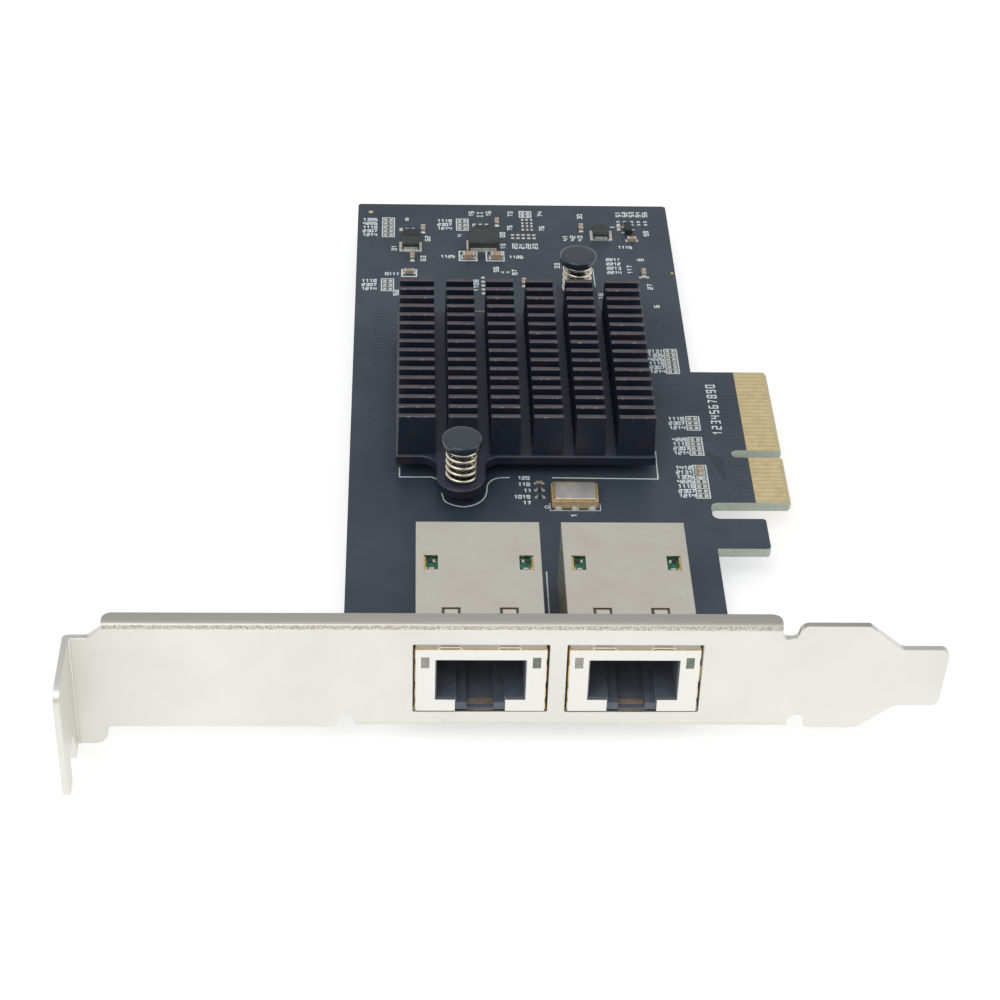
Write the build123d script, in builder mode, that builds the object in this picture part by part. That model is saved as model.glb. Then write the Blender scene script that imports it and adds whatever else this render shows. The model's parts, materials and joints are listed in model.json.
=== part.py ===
"""Network interface card with two copper ports, a pin-fin heatsink and a folded bracket.

The card lies flat with its components up. X runs along the bracket from the screw tab to
the tongue, Y runs from the bracket to the back edge of the board, and Z is up. Sizes are
in millimetres.
"""

import os
from math import cos, radians, sin, tan

from build123d import *

os.makedirs("parts", exist_ok=True)

# Bracket, folded from one steel sheet
sheet = 0.86
bend_inside = 0.2
bend_outside = 0.8
bracket_length = 120.02
bracket_width = 18.42
tongue_width = 10.19
tongue_length = 6.6
tongue_taper = 4.8
tongue_corner = 1.0
tongue_end_taper = 0.5
ear_drop = 3.17
ear_width = 19.1
ear_length = 2.6
ear_chamfer_length = 2.5
tab_reach = 11.43
tab_corner = 2.2
screw_slot_width = 4.42
screw_slot_depth = 5.3
screw_slot_from_face = 2.9
prong_round = 1.2
lip_depth = 2.6
lip_start = 5.3
lip_from_tip = 23.22
lip_corner = 1.2
flange_inset = 1.85
flange_overhang = 6.15
flange_depth = 3.2
relief_width = 2.4
relief_height = 2.3
fixing_tab_width = 7.2
fixing_tab_depth = 11.6
fixing_screw_from_face = 7.6
fixing_screw_from_left = 5.2
fixing_screw_from_right = 3.3
cutout_gap = 0.4
cutout_headroom = 0.93

# Circuit board
board_from_tip = 27.37
board_length = 134.1
board_thickness = 1.57
board_gap = 0.74
board_corner = 0.4
card_height = 68.07

# Edge connector, four lanes
contact_pitch = 1.0
contact_width = 0.7
contact_length = 4.75
contact_thickness = 0.05
contact_tip_gap = 0.62
near_contacts = 11
far_contacts = 21
notch_center = 60.5
notch_width = 1.9
notch_depth = 8.0
contact_to_notch = 0.55
contact_to_end = 1.10
edge_bevel = 0.5
edge_bevel_depth = 0.28
slot_width = 4.0
foot_width = 7.3
foot_reach = 8.1
slot_round = 1.2

# Ports
jack_from_left = 10.29
jack_from_right = 6.73
jack_spacing = 3.18
jack_width = 17.7
jack_depth = 28.0
jack_below_lip = 4.35
shield_sheet = 0.3
nose_step = 0.6
nose_clearance = 0.2
port_wall = 2.65
port_lintel = 1.79
port_sill = 2.65
latch_width = 6.9
latch_height = 1.0
latch_neck_width = 4.1
latch_floor = 0.75
cavity_inset = 0.2
cavity_depth = 13.5
front_block_depth = 15.0
fit_clearance = 0.05
wire_count = 8
wire_pitch = 1.02
wire_width = 0.36
wire_thickness = 0.24
wire_slope = 16.0
wire_reach = 8.2
groove_width = 0.62
groove_height = 0.95
groove_start = 2.4
light_width = 1.0
light_height = 1.8
light_depth = 6.0
light_from_side = 0.78
light_from_top = 1.39
magnetics_thickness = 0.8
magnetics_gap = 0.5
window_width = 2.0
window_length = 3.2
window_from_front = 17.2
window_from_side = 1.1
finger_width = 1.8
finger_slot = 0.4
finger_length = 7.8
finger_rise = 0.75
finger_spacing = 8.0
vent_radius = 0.42
vent_sides = 8
vent_from_front = 10.9
vent_from_side = 1.65
pin_columns = 6
pin_rows = 2
pin_pitch = 2.04
pin_row_pitch = 2.54
pin_side = 0.5
pin_tail = 1.2
pin_hole_gap = 0.2
pins_from_front = 19.0
peg_radius = 1.5
peg_sides = 12
peg_from_side = 3.15
peg_from_front = 9.0
peg_tail = 0.6
post_width = 1.5
post_from_front = 14.0
hole_clearance = 0.15

# Controller package
package_side = 25.0
package_thickness = 1.1
die_side = 17.0
die_thickness = 0.75
pad_side = 16.0
pad_thickness = 0.2

# Heatsink, a base with tapered pins in rows
heatsink_from_left = 27.4
heatsink_from_face = 75.7
heatsink_shift = -0.7
heatsink_width = 40.2
heatsink_length = 40.6
heatsink_base = 1.5
heatsink_edge = 0.4
fin_rows = 16
fin_end_gap = 0.575
fin_thickness = 1.05
fin_height = 7.0
fin_draft = 1.0
fin_side_gap = 0.2
outer_fin_share = 1.242
inner_columns = 4
column_gap = 1.8
ear_radius = 3.75
ear_blend = 2.4
ear_across = 10.15
ear_reach = 5.8

# Spring push pins
head_radius = 3.1
head_thickness = 1.4
head_edge = 0.4
stem_radius = 1.3
stem_hole_gap = 0.25
spring_length = 6.0
spring_radius = 2.25
spring_wire = 0.21
spring_turns = 5
spring_sides = 12
spring_end_gap = 0.1
barb_radius = 2.0
barb_length = 2.6
barb_tip_radius = 0.9
barb_slot = 0.6
barb_slot_depth = 4.0

# Fixing screws
screw_radius = 1.25
screw_head_radius = 2.5
screw_head_height = 1.5
screw_overrun = 0.9
screw_recess_width = 2.6
screw_recess_bar = 0.6
screw_recess_depth = 0.8

# Oscillator
oscillator_from_left = 34.7
oscillator_from_face = 48.8
oscillator_width = 7.1
oscillator_length = 5.0
oscillator_height = 1.3
oscillator_lid_inset = 0.45
oscillator_lid = 0.25
oscillator_corner = 0.35

# Power inductors behind the heatsink: middle from the left edge and from the back edge
inductor_places = {"left": (9.45, 14.5), "middle": (22.25, 13.8), "right": (43.25, 10.3)}
inductor_sizes = {"left": (3.0, 2.8, 1.7), "middle": (5.2, 4.4, 2.1), "right": (2.8, 3.2, 1.6)}
inductor_bevel = 0.3
terminal_thickness = 0.15
terminal_foot = 0.8
terminal_rise = 0.75
terminal_side_inset = 0.3

# Voltage regulators and a transistor: middle from the left and back edges, then the body
regulator_places = {"left": (9.45, 10.9), "middle": (22.15, 9.4)}
regulator_width = 2.8
regulator_length = 2.0
regulator_height = 0.9
regulator_leads = 3
transistor_place = (48.25, 8.4)
transistor_width = 1.3
transistor_length = 2.8
transistor_height = 0.95
lead_width = 0.35
lead_length = 0.55
lead_thickness = 0.15
lead_pitch = 0.95

# Chip capacitors and resistors: length, width and height of each size
small_chip = (1.6, 0.8, 0.8)
large_chip = (2.2, 1.3, 1.1)
tiny_chip = (1.0, 0.5, 0.35)
chip_end_share = 0.22
chip_end_lip = 0.03

# Chip places: size, middle from the left edge and from the back edge, and whether it runs
# along the card; then those beside the oscillator, measured from the bracket's face
along_card = True
across_card = False
capacitor_places = [
    (small_chip, 11.65, 9.0, along_card),
    (small_chip, 9.75, 18.4, along_card),
    (large_chip, 19.65, 18.0, across_card),
    (large_chip, 24.55, 18.0, across_card),
    (small_chip, 24.85, 6.5, along_card),
    (small_chip, 39.85, 8.2, along_card),
    (small_chip, 48.7, 12.0, across_card),
    (small_chip, 50.05, 23.0, along_card),
    (small_chip, 29.05, 26.4, along_card),
    (small_chip, 9.2, 23.2, across_card),
]
front_capacitor_places = [
    (small_chip, 54.65, 55.0, along_card),
    (tiny_chip, 29.4, 52.6, across_card),
]
front_resistor_places = [
    (tiny_chip, 29.4, 50.8, across_card),
    (tiny_chip, 29.4, 49.0, across_card),
]

# Worked-out heights, measured from the lower edge of the bracket
board_bottom = sheet
board_top = board_bottom + board_thickness
board_width = jack_from_left + 2 * jack_width + jack_spacing + jack_from_right
board_left = bracket_length - board_from_tip - board_width
lip_end = bracket_length - lip_from_tip
flange_start = board_left + flange_inset
flange_end = board_left + board_width + flange_overhang
jack_height = bracket_width - jack_below_lip - board_top
port_width = jack_width - 2 * port_wall
port_height = jack_height - port_sill - port_lintel
light_sill = jack_height - light_from_top - light_height
peg_spacing = jack_width - 2 * peg_from_side
vent_spacing = jack_width - 2 * vent_from_side
fin_pitch = (heatsink_length - fin_thickness - 2 * fin_end_gap) / (fin_rows - 1)
fin_span = heatsink_width - 2 * fin_side_gap - (inner_columns + 1) * column_gap
inner_fin_width = fin_span / (inner_columns + 2 * outer_fin_share)
outer_fin_width = outer_fin_share * inner_fin_width
ear_along = heatsink_length / 2 + ear_reach
board_front = sheet + bend_inside + board_gap
board_back = board_front + board_length
board_right = board_left + board_width
card_edge = board_left + card_height
package_top = board_top + package_thickness
die_top = package_top + die_thickness
base_bottom = die_top + pad_thickness
base_top = base_bottom + heatsink_base
cutout_bottom = board_top + nose_step - nose_clearance
cutout_top = board_top + jack_height + cutout_headroom
jack_lefts = {
    "left": board_left + jack_from_left,
    "right": board_left + jack_from_left + jack_width + jack_spacing,
}

# The origin is under the middle of the card's box, so the corner of the bracket sits here
corner = Vector(-bracket_length / 2, (tab_reach - board_back) / 2, ear_drop)


def level(height):
    """Give the horizontal plane at a height, with X from the tab and Y from the bracket."""
    return Plane(origin=corner + Vector(0, 0, height), x_dir=(1, 0, 0), z_dir=(0, 0, 1))


def facing(depth=0.0):
    """Give the plane behind the bracket's outer face, with X along it and Y up."""
    return Plane(origin=corner + Vector(0, depth, 0), x_dir=(1, 0, 0), z_dir=(0, -1, 0))


def section(across):
    """Give the upright plane across the bracket, with X from its face and Y up."""
    return Plane(origin=corner + Vector(across, 0, 0), x_dir=(0, 1, 0), z_dir=(1, 0, 0))


def nearest(sketch, across, up):
    """Give the corner of a profile that lies nearest a point of its plane."""
    return sketch.vertices().sort_by_distance(Vector(across, up, 0))[0]


def save(builder, name):
    """Label a finished piece and write it as its own node."""
    builder.part.label = name
    export_step(builder.part, f"parts/{name}.step")


# Bracket places that other features share
screw_points = [
    (board_left + fixing_screw_from_left, fixing_screw_from_face),
    (board_right - fixing_screw_from_right, fixing_screw_from_face),
]
push_pin_points = {
    "front": (board_left + heatsink_from_left - ear_across, heatsink_from_face - ear_along),
    "rear": (board_left + heatsink_from_left + ear_across, heatsink_from_face + ear_along),
}


# Bracket: the flat face first, then the folded lip, flange and screw tab
with BuildPart() as bracket:
    with BuildSketch(facing()) as face_outline:
        with BuildLine():
            tongue_low = (bracket_width - tongue_width) / 2
            tongue_high = tongue_low + tongue_width
            tongue_root = bracket_length - tongue_length
            shoulder = tongue_root - tongue_taper
            Polyline(
                (ear_length, -ear_drop),
                (ear_length + ear_chamfer_length, 0),
                (shoulder, 0),
                (tongue_root, tongue_low),
                (bracket_length - tongue_end_taper, tongue_low),
                (bracket_length, tongue_high - tongue_corner),
                (bracket_length - tongue_corner, tongue_high),
                (tongue_root, tongue_high),
                (shoulder, bracket_width),
                (lip_end + relief_width, bracket_width),
                (lip_end + relief_width, bracket_width - bend_outside),
                (lip_start, bracket_width - bend_outside),
                (ear_length, ear_width - ear_drop),
                close=True,
            )
        make_face()
        with Locations((lip_end + relief_width / 2, bracket_width - relief_height / 2)):
            Rectangle(relief_width, relief_height, mode=Mode.SUBTRACT)
        for start in (flange_start - relief_width, flange_end):
            with Locations((start + relief_width / 2, relief_height / 2)):
                Rectangle(relief_width, relief_height, mode=Mode.SUBTRACT)
        with Locations(((flange_start + flange_end) / 2, bend_outside / 2)):
            Rectangle(flange_end - flange_start, bend_outside, mode=Mode.SUBTRACT)
        for jack_left in jack_lefts.values():
            cutout_middle = (cutout_bottom + cutout_top) / 2
            with Locations((jack_left + jack_width / 2, cutout_middle)):
                Rectangle(jack_width + 2 * cutout_gap, cutout_top - cutout_bottom,
                          mode=Mode.SUBTRACT)
    extrude(amount=-sheet)

    # Upper lip
    with BuildSketch(section(lip_start)) as lip_profile:
        with BuildLine():
            lip_top = bracket_width
            leg_low = lip_top - bend_outside - sheet
            Polyline(
                (0, leg_low),
                (0, lip_top),
                (lip_depth, lip_top),
                (lip_depth, lip_top - sheet),
                (sheet, lip_top - sheet),
                (sheet, leg_low),
                close=True,
            )
        make_face()
        fillet(nearest(lip_profile, 0, lip_top), bend_outside)
        fillet(nearest(lip_profile, sheet, lip_top - sheet), bend_inside)
    extrude(amount=lip_end - lip_start)

    # Lower flange under the board
    with BuildSketch(section(flange_start)) as flange_profile:
        with BuildLine():
            leg_high = bend_outside + sheet
            Polyline(
                (0, leg_high),
                (0, 0),
                (flange_depth, 0),
                (flange_depth, sheet),
                (sheet, sheet),
                (sheet, leg_high),
                close=True,
            )
        make_face()
        fillet(nearest(flange_profile, 0, 0), bend_outside)
        fillet(nearest(flange_profile, sheet, sheet), bend_inside)
    extrude(amount=flange_end - flange_start)

    # Fixing tabs that the board is screwed to
    with BuildSketch(level(0)):
        for point in screw_points:
            tab_middle = (flange_depth + fixing_tab_depth) / 2
            with Locations((point[0], tab_middle)):
                Rectangle(fixing_tab_width, fixing_tab_depth - flange_depth)
    extrude(amount=sheet)
    with BuildSketch(level(0)):
        with Locations(*screw_points):
            Circle(screw_radius)
    extrude(amount=sheet, mode=Mode.SUBTRACT)

    # Screw tab, folded forward from the ear
    with BuildSketch(level(-ear_drop)) as tab_profile:
        with BuildLine():
            Polyline(
                (0, -tab_reach),
                (sheet, -tab_reach),
                (sheet, 0),
                (ear_length, 0),
                (ear_length, sheet),
                (0, sheet),
                close=True,
            )
        make_face()
        fillet(nearest(tab_profile, sheet, 0), bend_inside)
        fillet(nearest(tab_profile, 0, sheet), bend_outside)
    extrude(amount=ear_width)

    # Screw slot, open toward the solder side, between two rounded prongs
    with BuildSketch(section(0)):
        slot_radius = screw_slot_width / 2
        slot_middle = -screw_slot_from_face - slot_radius
        straight = screw_slot_depth - slot_radius
        with Locations((slot_middle, -ear_drop + straight / 2)):
            Rectangle(screw_slot_width, straight)
        with Locations((slot_middle, -ear_drop + straight)):
            Circle(slot_radius)
    extrude(amount=sheet, mode=Mode.SUBTRACT)

    # Rounded corners of the tab, the prongs and the lip
    tab_edges = bracket.edges().filter_by(Axis.X).group_by(Axis.Y)[0]
    fillet(tab_edges, tab_corner)
    prong_edges = bracket.edges().filter_by(Axis.X).group_by(Axis.Z)[0].group_by(Axis.Y)
    fillet(prong_edges[0] + prong_edges[1], prong_round)
    lip_edges = bracket.edges().filter_by(Axis.Z).filter_by_position(
        Axis.Z, corner.Z + bracket_width - sheet, corner.Z + bracket_width)
    fillet(lip_edges.group_by(Axis.Y)[-1].sort_by(Axis.X)[-1], lip_corner)
save(bracket, "bracket")


# Where the holes of each port lie, shared by the board and the ports
def port_pins(jack_left):
    """List the signal pins of a port."""
    points = []
    for row in range(pin_rows):
        for column in range(pin_columns):
            across = (column - (pin_columns - 1) / 2) * pin_pitch
            stagger = (row - (pin_rows - 1) / 2) * pin_pitch / 2
            along = pins_from_front + row * pin_row_pitch
            points.append((jack_left + jack_width / 2 + across + stagger, along))
    return points


def port_pegs(jack_left):
    """List the two locating pegs of a port."""
    middle = jack_left + jack_width / 2
    return [(middle + side * peg_spacing / 2, peg_from_front) for side in (-1, 1)]


def port_posts(jack_left):
    """List the middles of the two shield posts of a port."""
    inset = shield_sheet / 2
    return [(jack_left + inset, post_from_front), (jack_left + jack_width - inset, post_from_front)]


def contact_rows():
    """List how far along the card each contact of the edge connector lies."""
    far_start = notch_center + notch_width / 2 + contact_to_notch
    near_start = notch_center - notch_width / 2 - contact_to_notch
    far = [far_start + i * contact_pitch for i in range(far_contacts)]
    near = [near_start - i * contact_pitch for i in range(near_contacts)]
    return near + far


# Circuit board
with BuildPart() as circuit_board:
    with BuildSketch(level(board_bottom)) as board_outline:
        far_end = contact_rows()[-1] + contact_to_end
        near_end = contact_rows()[near_contacts - 1] - contact_to_end
        foot_high = near_end - slot_width
        foot_low = foot_high - foot_width
        foot_edge = board_right + foot_reach
        with BuildLine():
            Polyline(
                (board_left, board_front),
                (board_right, board_front),
                (board_right, foot_low),
                (foot_edge, foot_low),
                (foot_edge, foot_high),
                (board_right, foot_high),
                (board_right, near_end),
                (card_edge, near_end),
                (card_edge, far_end),
                (board_right, far_end),
                (board_right, board_back),
                (board_left, board_back),
                close=True,
            )
        make_face()
        for along in (near_end, foot_high):
            fillet(nearest(board_outline, board_right, along), slot_round)
        for across, along in (
            (board_left, board_back),
            (board_right, board_back),
            (foot_edge, foot_low),
            (foot_edge, foot_high),
            (card_edge, near_end),
            (card_edge, far_end),
        ):
            chamfer(nearest(board_outline, across, along), board_corner)
        notch_round = notch_width / 2
        notch_straight = notch_depth - notch_round
        with Locations((card_edge - notch_straight / 2, notch_center)):
            Rectangle(notch_straight, notch_width, mode=Mode.SUBTRACT)
        with Locations((card_edge - notch_straight, notch_center)):
            Circle(notch_round, mode=Mode.SUBTRACT)
        with Locations(*push_pin_points.values()):
            Circle(stem_radius + stem_hole_gap, mode=Mode.SUBTRACT)
        with Locations(*screw_points):
            Circle(screw_radius + hole_clearance, mode=Mode.SUBTRACT)
        for jack_left in jack_lefts.values():
            with Locations(*port_pins(jack_left)):
                Rectangle(pin_side + 2 * pin_hole_gap, pin_side + 2 * pin_hole_gap,
                          mode=Mode.SUBTRACT)
            with Locations(*port_pegs(jack_left)):
                RegularPolygon(peg_radius + hole_clearance, peg_sides, mode=Mode.SUBTRACT)
            with Locations(*port_posts(jack_left)):
                Rectangle(shield_sheet + 2 * hole_clearance, post_width + 2 * hole_clearance,
                          mode=Mode.SUBTRACT)
    extrude(amount=board_thickness)
    with BuildSketch(facing(near_end)):
        for surface, inward in ((board_bottom, 1), (board_top, -1)):
            with BuildLine():
                Polyline(
                    (card_edge - edge_bevel, surface),
                    (card_edge, surface),
                    (card_edge, surface + inward * edge_bevel_depth),
                    close=True,
                )
            make_face()
    extrude(amount=-(far_end - near_end), mode=Mode.SUBTRACT)
save(circuit_board, "circuit_board")


# Gold contacts on both faces of the edge connector
def build_contacts(name, height):
    """Build the row of flat contacts that lies at a height."""
    middle = card_edge - contact_tip_gap - contact_length / 2
    with BuildPart() as contacts:
        with BuildSketch(level(height)):
            with Locations(*[(middle, along) for along in contact_rows()]):
                Rectangle(contact_length, contact_width)
        extrude(amount=contact_thickness)
    save(contacts, name)


build_contacts("edge_contacts_top", board_top)
build_contacts("edge_contacts_bottom", board_bottom - contact_thickness)


# Screws that hold the board to the bracket
with BuildPart() as bracket_screws:
    with BuildSketch(level(board_top)):
        with Locations(*screw_points):
            Circle(screw_head_radius)
    extrude(amount=screw_head_height)
    with BuildSketch(level(board_top + screw_head_height)):
        with Locations(*screw_points):
            Rectangle(screw_recess_width, screw_recess_bar)
            Rectangle(screw_recess_bar, screw_recess_width)
    extrude(amount=-screw_recess_depth, mode=Mode.SUBTRACT)
    with BuildSketch(level(board_bottom - sheet - screw_overrun)):
        with Locations(*screw_points):
            Circle(screw_radius)
    extrude(amount=board_thickness + sheet + screw_overrun)
save(bracket_screws, "bracket_screws")


# Ports: each has a folded shield, a moulded insert, eight wires, lights, pins and magnetics
def port_profile(steps, grow=0.0):
    """Draw the stepped opening of a port in the current sketch, around its own middle."""
    port_top = port_sill + port_height + grow
    for step_width, step_floor in steps:
        floor = step_floor - grow
        with Locations((0, (floor + port_top) / 2)):
            Rectangle(step_width + 2 * grow, port_top - floor)


shield_steps = ((port_width, port_sill), (latch_width, nose_step))
cavity_steps = (
    (port_width, port_sill),
    (latch_width, port_sill - latch_height),
    (latch_neck_width, latch_floor),
)


def build_jack(side, jack_left):
    """Build the pieces of one port."""
    middle = jack_left + jack_width / 2
    front = facing()
    front.origin += Vector(middle, 0, board_top)
    inner_width = jack_width - 2 * shield_sheet - 2 * fit_clearance
    inner_height = jack_height - shield_sheet - fit_clearance
    block_start = shield_sheet + fit_clearance
    nose_length = sheet + nose_clearance
    light_across = jack_width / 2 - light_from_side - light_width / 2
    light_middle = light_sill + light_height / 2
    lights = {"link": -light_across, "activity": light_across}
    ceiling = port_sill + port_height - cavity_inset
    wire_top = ceiling + groove_height
    deck = wire_top - wire_thickness

    with BuildPart() as shield:
        with BuildSketch(level(board_top)):
            with Locations((middle, jack_depth / 2)):
                Rectangle(jack_width, jack_depth)
        extrude(amount=jack_height)
        offset(amount=-shield_sheet, openings=shield.faces().sort_by(Axis.Z)[0])
        with BuildSketch(front):
            port_profile(shield_steps)
            with Locations(*[(across, light_middle) for across in lights.values()]):
                Rectangle(light_width + 2 * fit_clearance, light_height + 2 * fit_clearance)
            with Locations((0, nose_step / 2)):
                Rectangle(jack_width, nose_step)
        extrude(amount=-shield_sheet, mode=Mode.SUBTRACT)
        with BuildSketch(front):
            with Locations((0, nose_step / 2)):
                Rectangle(jack_width, nose_step)
        extrude(amount=-nose_length, mode=Mode.SUBTRACT)
        with BuildSketch(level(board_top + jack_height)):
            for direction in (-1, 1):
                window_across = jack_width / 2 - window_from_side - window_width / 2
                with Locations((middle + direction * window_across,
                                window_from_front + window_length / 2)):
                    Rectangle(window_width, window_length)
                with Locations((middle + direction * vent_spacing / 2, vent_from_front)):
                    RegularPolygon(vent_radius, vent_sides)
                finger = middle + direction * finger_spacing / 2
                finger_start = sheet + shield_sheet
                with Locations((finger, finger_start + finger_length / 2)):
                    Rectangle(finger_width + 2 * finger_slot, finger_length)
        extrude(amount=-shield_sheet, mode=Mode.SUBTRACT)
        for direction in (-1, 1):
            finger_left = middle + direction * finger_spacing / 2 - finger_width / 2
            with BuildSketch(section(finger_left)):
                top = board_top + jack_height
                start = sheet + shield_sheet
                end = start + finger_length - finger_slot
                peak = (start + end) / 2
                with BuildLine():
                    ThreePointArc((start, top), (peak, top + finger_rise), (end, top))
                    Line((end, top), (end, top - shield_sheet))
                    ThreePointArc((end, top - shield_sheet),
                                  (peak, top + finger_rise - shield_sheet),
                                  (start, top - shield_sheet))
                    Line((start, top - shield_sheet), (start, top))
                make_face()
            extrude(amount=finger_width)
        with BuildSketch(level(board_top)):
            with Locations(*port_posts(jack_left)):
                Rectangle(shield_sheet, post_width)
        extrude(amount=-(board_thickness + pin_tail))
    save(shield, f"jack_{side}_shield")

    with BuildPart() as insert:
        with BuildSketch(level(board_top)):
            rear = jack_depth - shield_sheet - fit_clearance
            with Locations((middle, (block_start + rear) / 2)):
                Rectangle(inner_width, rear - block_start)
        extrude(amount=deck)
        with BuildSketch(level(board_top + deck)):
            with Locations((middle, (block_start + front_block_depth) / 2)):
                Rectangle(inner_width, front_block_depth - block_start)
        extrude(amount=inner_height - deck)
        with BuildSketch(front):
            port_profile(cavity_steps, -cavity_inset)
        extrude(amount=-cavity_depth, mode=Mode.SUBTRACT)
        with BuildSketch(front):
            with Locations((0, nose_step / 2)):
                Rectangle(jack_width, nose_step)
        extrude(amount=-nose_length, mode=Mode.SUBTRACT)
        groove_plane = facing(groove_start)
        groove_plane.origin += Vector(middle, 0, board_top)
        with BuildSketch(groove_plane):
            with Locations((0, ceiling + groove_height / 2)):
                with GridLocations(wire_pitch, 0, wire_count, 1):
                    Rectangle(groove_width, groove_height)
        extrude(amount=-(front_block_depth - groove_start), mode=Mode.SUBTRACT)
        with BuildSketch(front):
            with Locations(*[(across, light_middle) for across in lights.values()]):
                Rectangle(light_width + 2 * fit_clearance, light_height + 2 * fit_clearance)
        extrude(amount=-(light_depth + fit_clearance), mode=Mode.SUBTRACT)
        with BuildSketch(level(board_top)):
            with Locations(*port_pegs(jack_left)):
                RegularPolygon(peg_radius, peg_sides)
        extrude(amount=-(board_thickness + peg_tail))
        peg_edges = insert.edges().group_by(Axis.Z)[0]
        chamfer(peg_edges, hole_clearance)
    save(insert, f"jack_{side}_insert")

    with BuildPart() as wires:
        first = middle - (wire_count - 1) * wire_pitch / 2 - wire_width / 2
        for i in range(wire_count):
            with BuildSketch(section(first + i * wire_pitch)):
                run = board_top + wire_top - wire_thickness / 2
                turn = groove_start + wire_thickness + fit_clearance
                drop = wire_reach * tan(radians(wire_slope))
                lower = run - 3 * wire_thickness
                with BuildLine():
                    Polyline(
                        (front_block_depth, run),
                        (turn + wire_thickness, run),
                        (turn, run - wire_thickness),
                        (turn, lower),
                        (turn + wire_reach, lower - drop),
                    )
                trace(line_width=wire_thickness)
            extrude(amount=wire_width)
    save(wires, f"jack_{side}_wires")

    for use, across in lights.items():
        with BuildPart() as light:
            with BuildSketch(front):
                with Locations((across, light_middle)):
                    Rectangle(light_width, light_height)
            extrude(amount=-light_depth)
        save(light, f"jack_{side}_{use}_light")

    with BuildPart() as magnetics:
        with BuildSketch(level(board_top + deck)):
            board_start = front_block_depth
            board_end = jack_depth - shield_sheet - magnetics_gap
            with Locations((middle, (board_start + board_end) / 2)):
                Rectangle(inner_width - 2 * magnetics_gap, board_end - board_start)
        extrude(amount=magnetics_thickness)
    save(magnetics, f"jack_{side}_magnetics_board")

    with BuildPart() as pins:
        with BuildSketch(level(board_top)):
            with Locations(*port_pins(jack_left)):
                Rectangle(pin_side, pin_side)
        extrude(amount=-(board_thickness + pin_tail))
    save(pins, f"jack_{side}_pins")


for side, jack_left in jack_lefts.items():
    build_jack(side, jack_left)


# Controller package and thermal pad, centred under the heatsink
heatsink_middle = (board_left + heatsink_from_left, heatsink_from_face)


def build_slab(name, side, height, thickness):
    """Build a square slab centred under the heatsink."""
    with BuildPart() as slab:
        with BuildSketch(level(height)):
            with Locations(heatsink_middle):
                Rectangle(side, side)
        extrude(amount=thickness)
    save(slab, name)


build_slab("controller_substrate", package_side, board_top, package_thickness)
build_slab("controller_die", die_side, package_top, die_thickness)
build_slab("thermal_pad", pad_side, die_top, pad_thickness)


# Heatsink: a flat base with two ears, and tapered pins in six columns
with BuildPart() as heatsink:
    base_middle = heatsink_from_face + heatsink_shift
    with BuildSketch(level(base_bottom)) as base_outline:
        with Locations((heatsink_middle[0], base_middle)):
            Rectangle(heatsink_width, heatsink_length)
        for direction, point in zip((-1, 1), push_pin_points.values()):
            edge = base_middle + direction * heatsink_length / 2
            with Locations((point[0], (point[1] + edge) / 2)):
                Rectangle(2 * ear_radius, abs(point[1] - edge))
            for ear_side in (-1, 1):
                root = (point[0] + ear_side * ear_radius, edge)
                fillet(nearest(base_outline, *root), ear_blend)
            with Locations(point):
                Circle(ear_radius)
        with Locations(*push_pin_points.values()):
            Circle(stem_radius + stem_hole_gap, mode=Mode.SUBTRACT)
    extrude(amount=heatsink_base)
    columns = [outer_fin_width] + inner_columns * [inner_fin_width] + [outer_fin_width]
    span = sum(columns) + (len(columns) - 1) * column_gap
    with BuildSketch(level(base_top)):
        column_start = heatsink_middle[0] - span / 2
        for column_width in columns:
            with Locations((column_start + column_width / 2, base_middle)):
                with GridLocations(0, fin_pitch, 1, fin_rows):
                    Rectangle(column_width, fin_thickness)
            column_start += column_width + column_gap
    extrude(amount=fin_height, taper=fin_draft)
save(heatsink, "heatsink")


# Push pins with barbed split ends, and their springs
def build_push_pin(name, point):
    """Build one push pin and its spring around a point of the card."""
    head_bottom = base_top + spring_length
    upright = section(point[0])
    upright.origin += Vector(0, point[1], 0)
    with BuildPart() as push_pin:
        with BuildSketch(upright):
            with BuildLine():
                barb_top = board_bottom - fit_clearance
                barb_low = barb_top - barb_length
                head_top = head_bottom + head_thickness
                Polyline(
                    (0, barb_low),
                    (barb_tip_radius, barb_low),
                    (barb_radius, barb_top - head_edge),
                    (barb_radius, barb_top),
                    (stem_radius, barb_top),
                    (stem_radius, head_bottom),
                    (head_radius, head_bottom),
                    (head_radius, head_top - head_edge),
                    (head_radius - head_edge, head_top),
                    (0, head_top),
                    close=True,
                )
            make_face()
        revolve(axis=Axis(upright.origin, (0, 0, 1)))
        with BuildSketch(upright):
            with Locations((0, barb_low + barb_slot_depth / 2)):
                Rectangle(2 * barb_radius, barb_slot_depth)
        extrude(amount=barb_slot / 2, both=True, mode=Mode.SUBTRACT)
    save(push_pin, f"push_pin_{name}")

    with BuildPart() as spring:
        coil_height = spring_length - 2 * spring_wire - 2 * spring_end_gap
        start = level(base_top + spring_wire + spring_end_gap)
        start.origin += Vector(point[0], point[1], 0)
        steps = spring_turns * spring_sides
        with BuildLine(start) as coil:
            Polyline(*[
                (
                    spring_radius * cos(radians(360 * i / spring_sides)),
                    spring_radius * sin(radians(360 * i / spring_sides)),
                    coil_height * i / steps,
                )
                for i in range(steps + 1)
            ])
        with BuildSketch(Plane(origin=coil.line @ 0, z_dir=coil.line % 0)):
            Rectangle(2 * spring_wire, 2 * spring_wire)
        sweep(path=coil.line, transition=Transition.RIGHT)
    save(spring, f"push_pin_spring_{name}")


for name, point in push_pin_points.items():
    build_push_pin(name, point)


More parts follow.
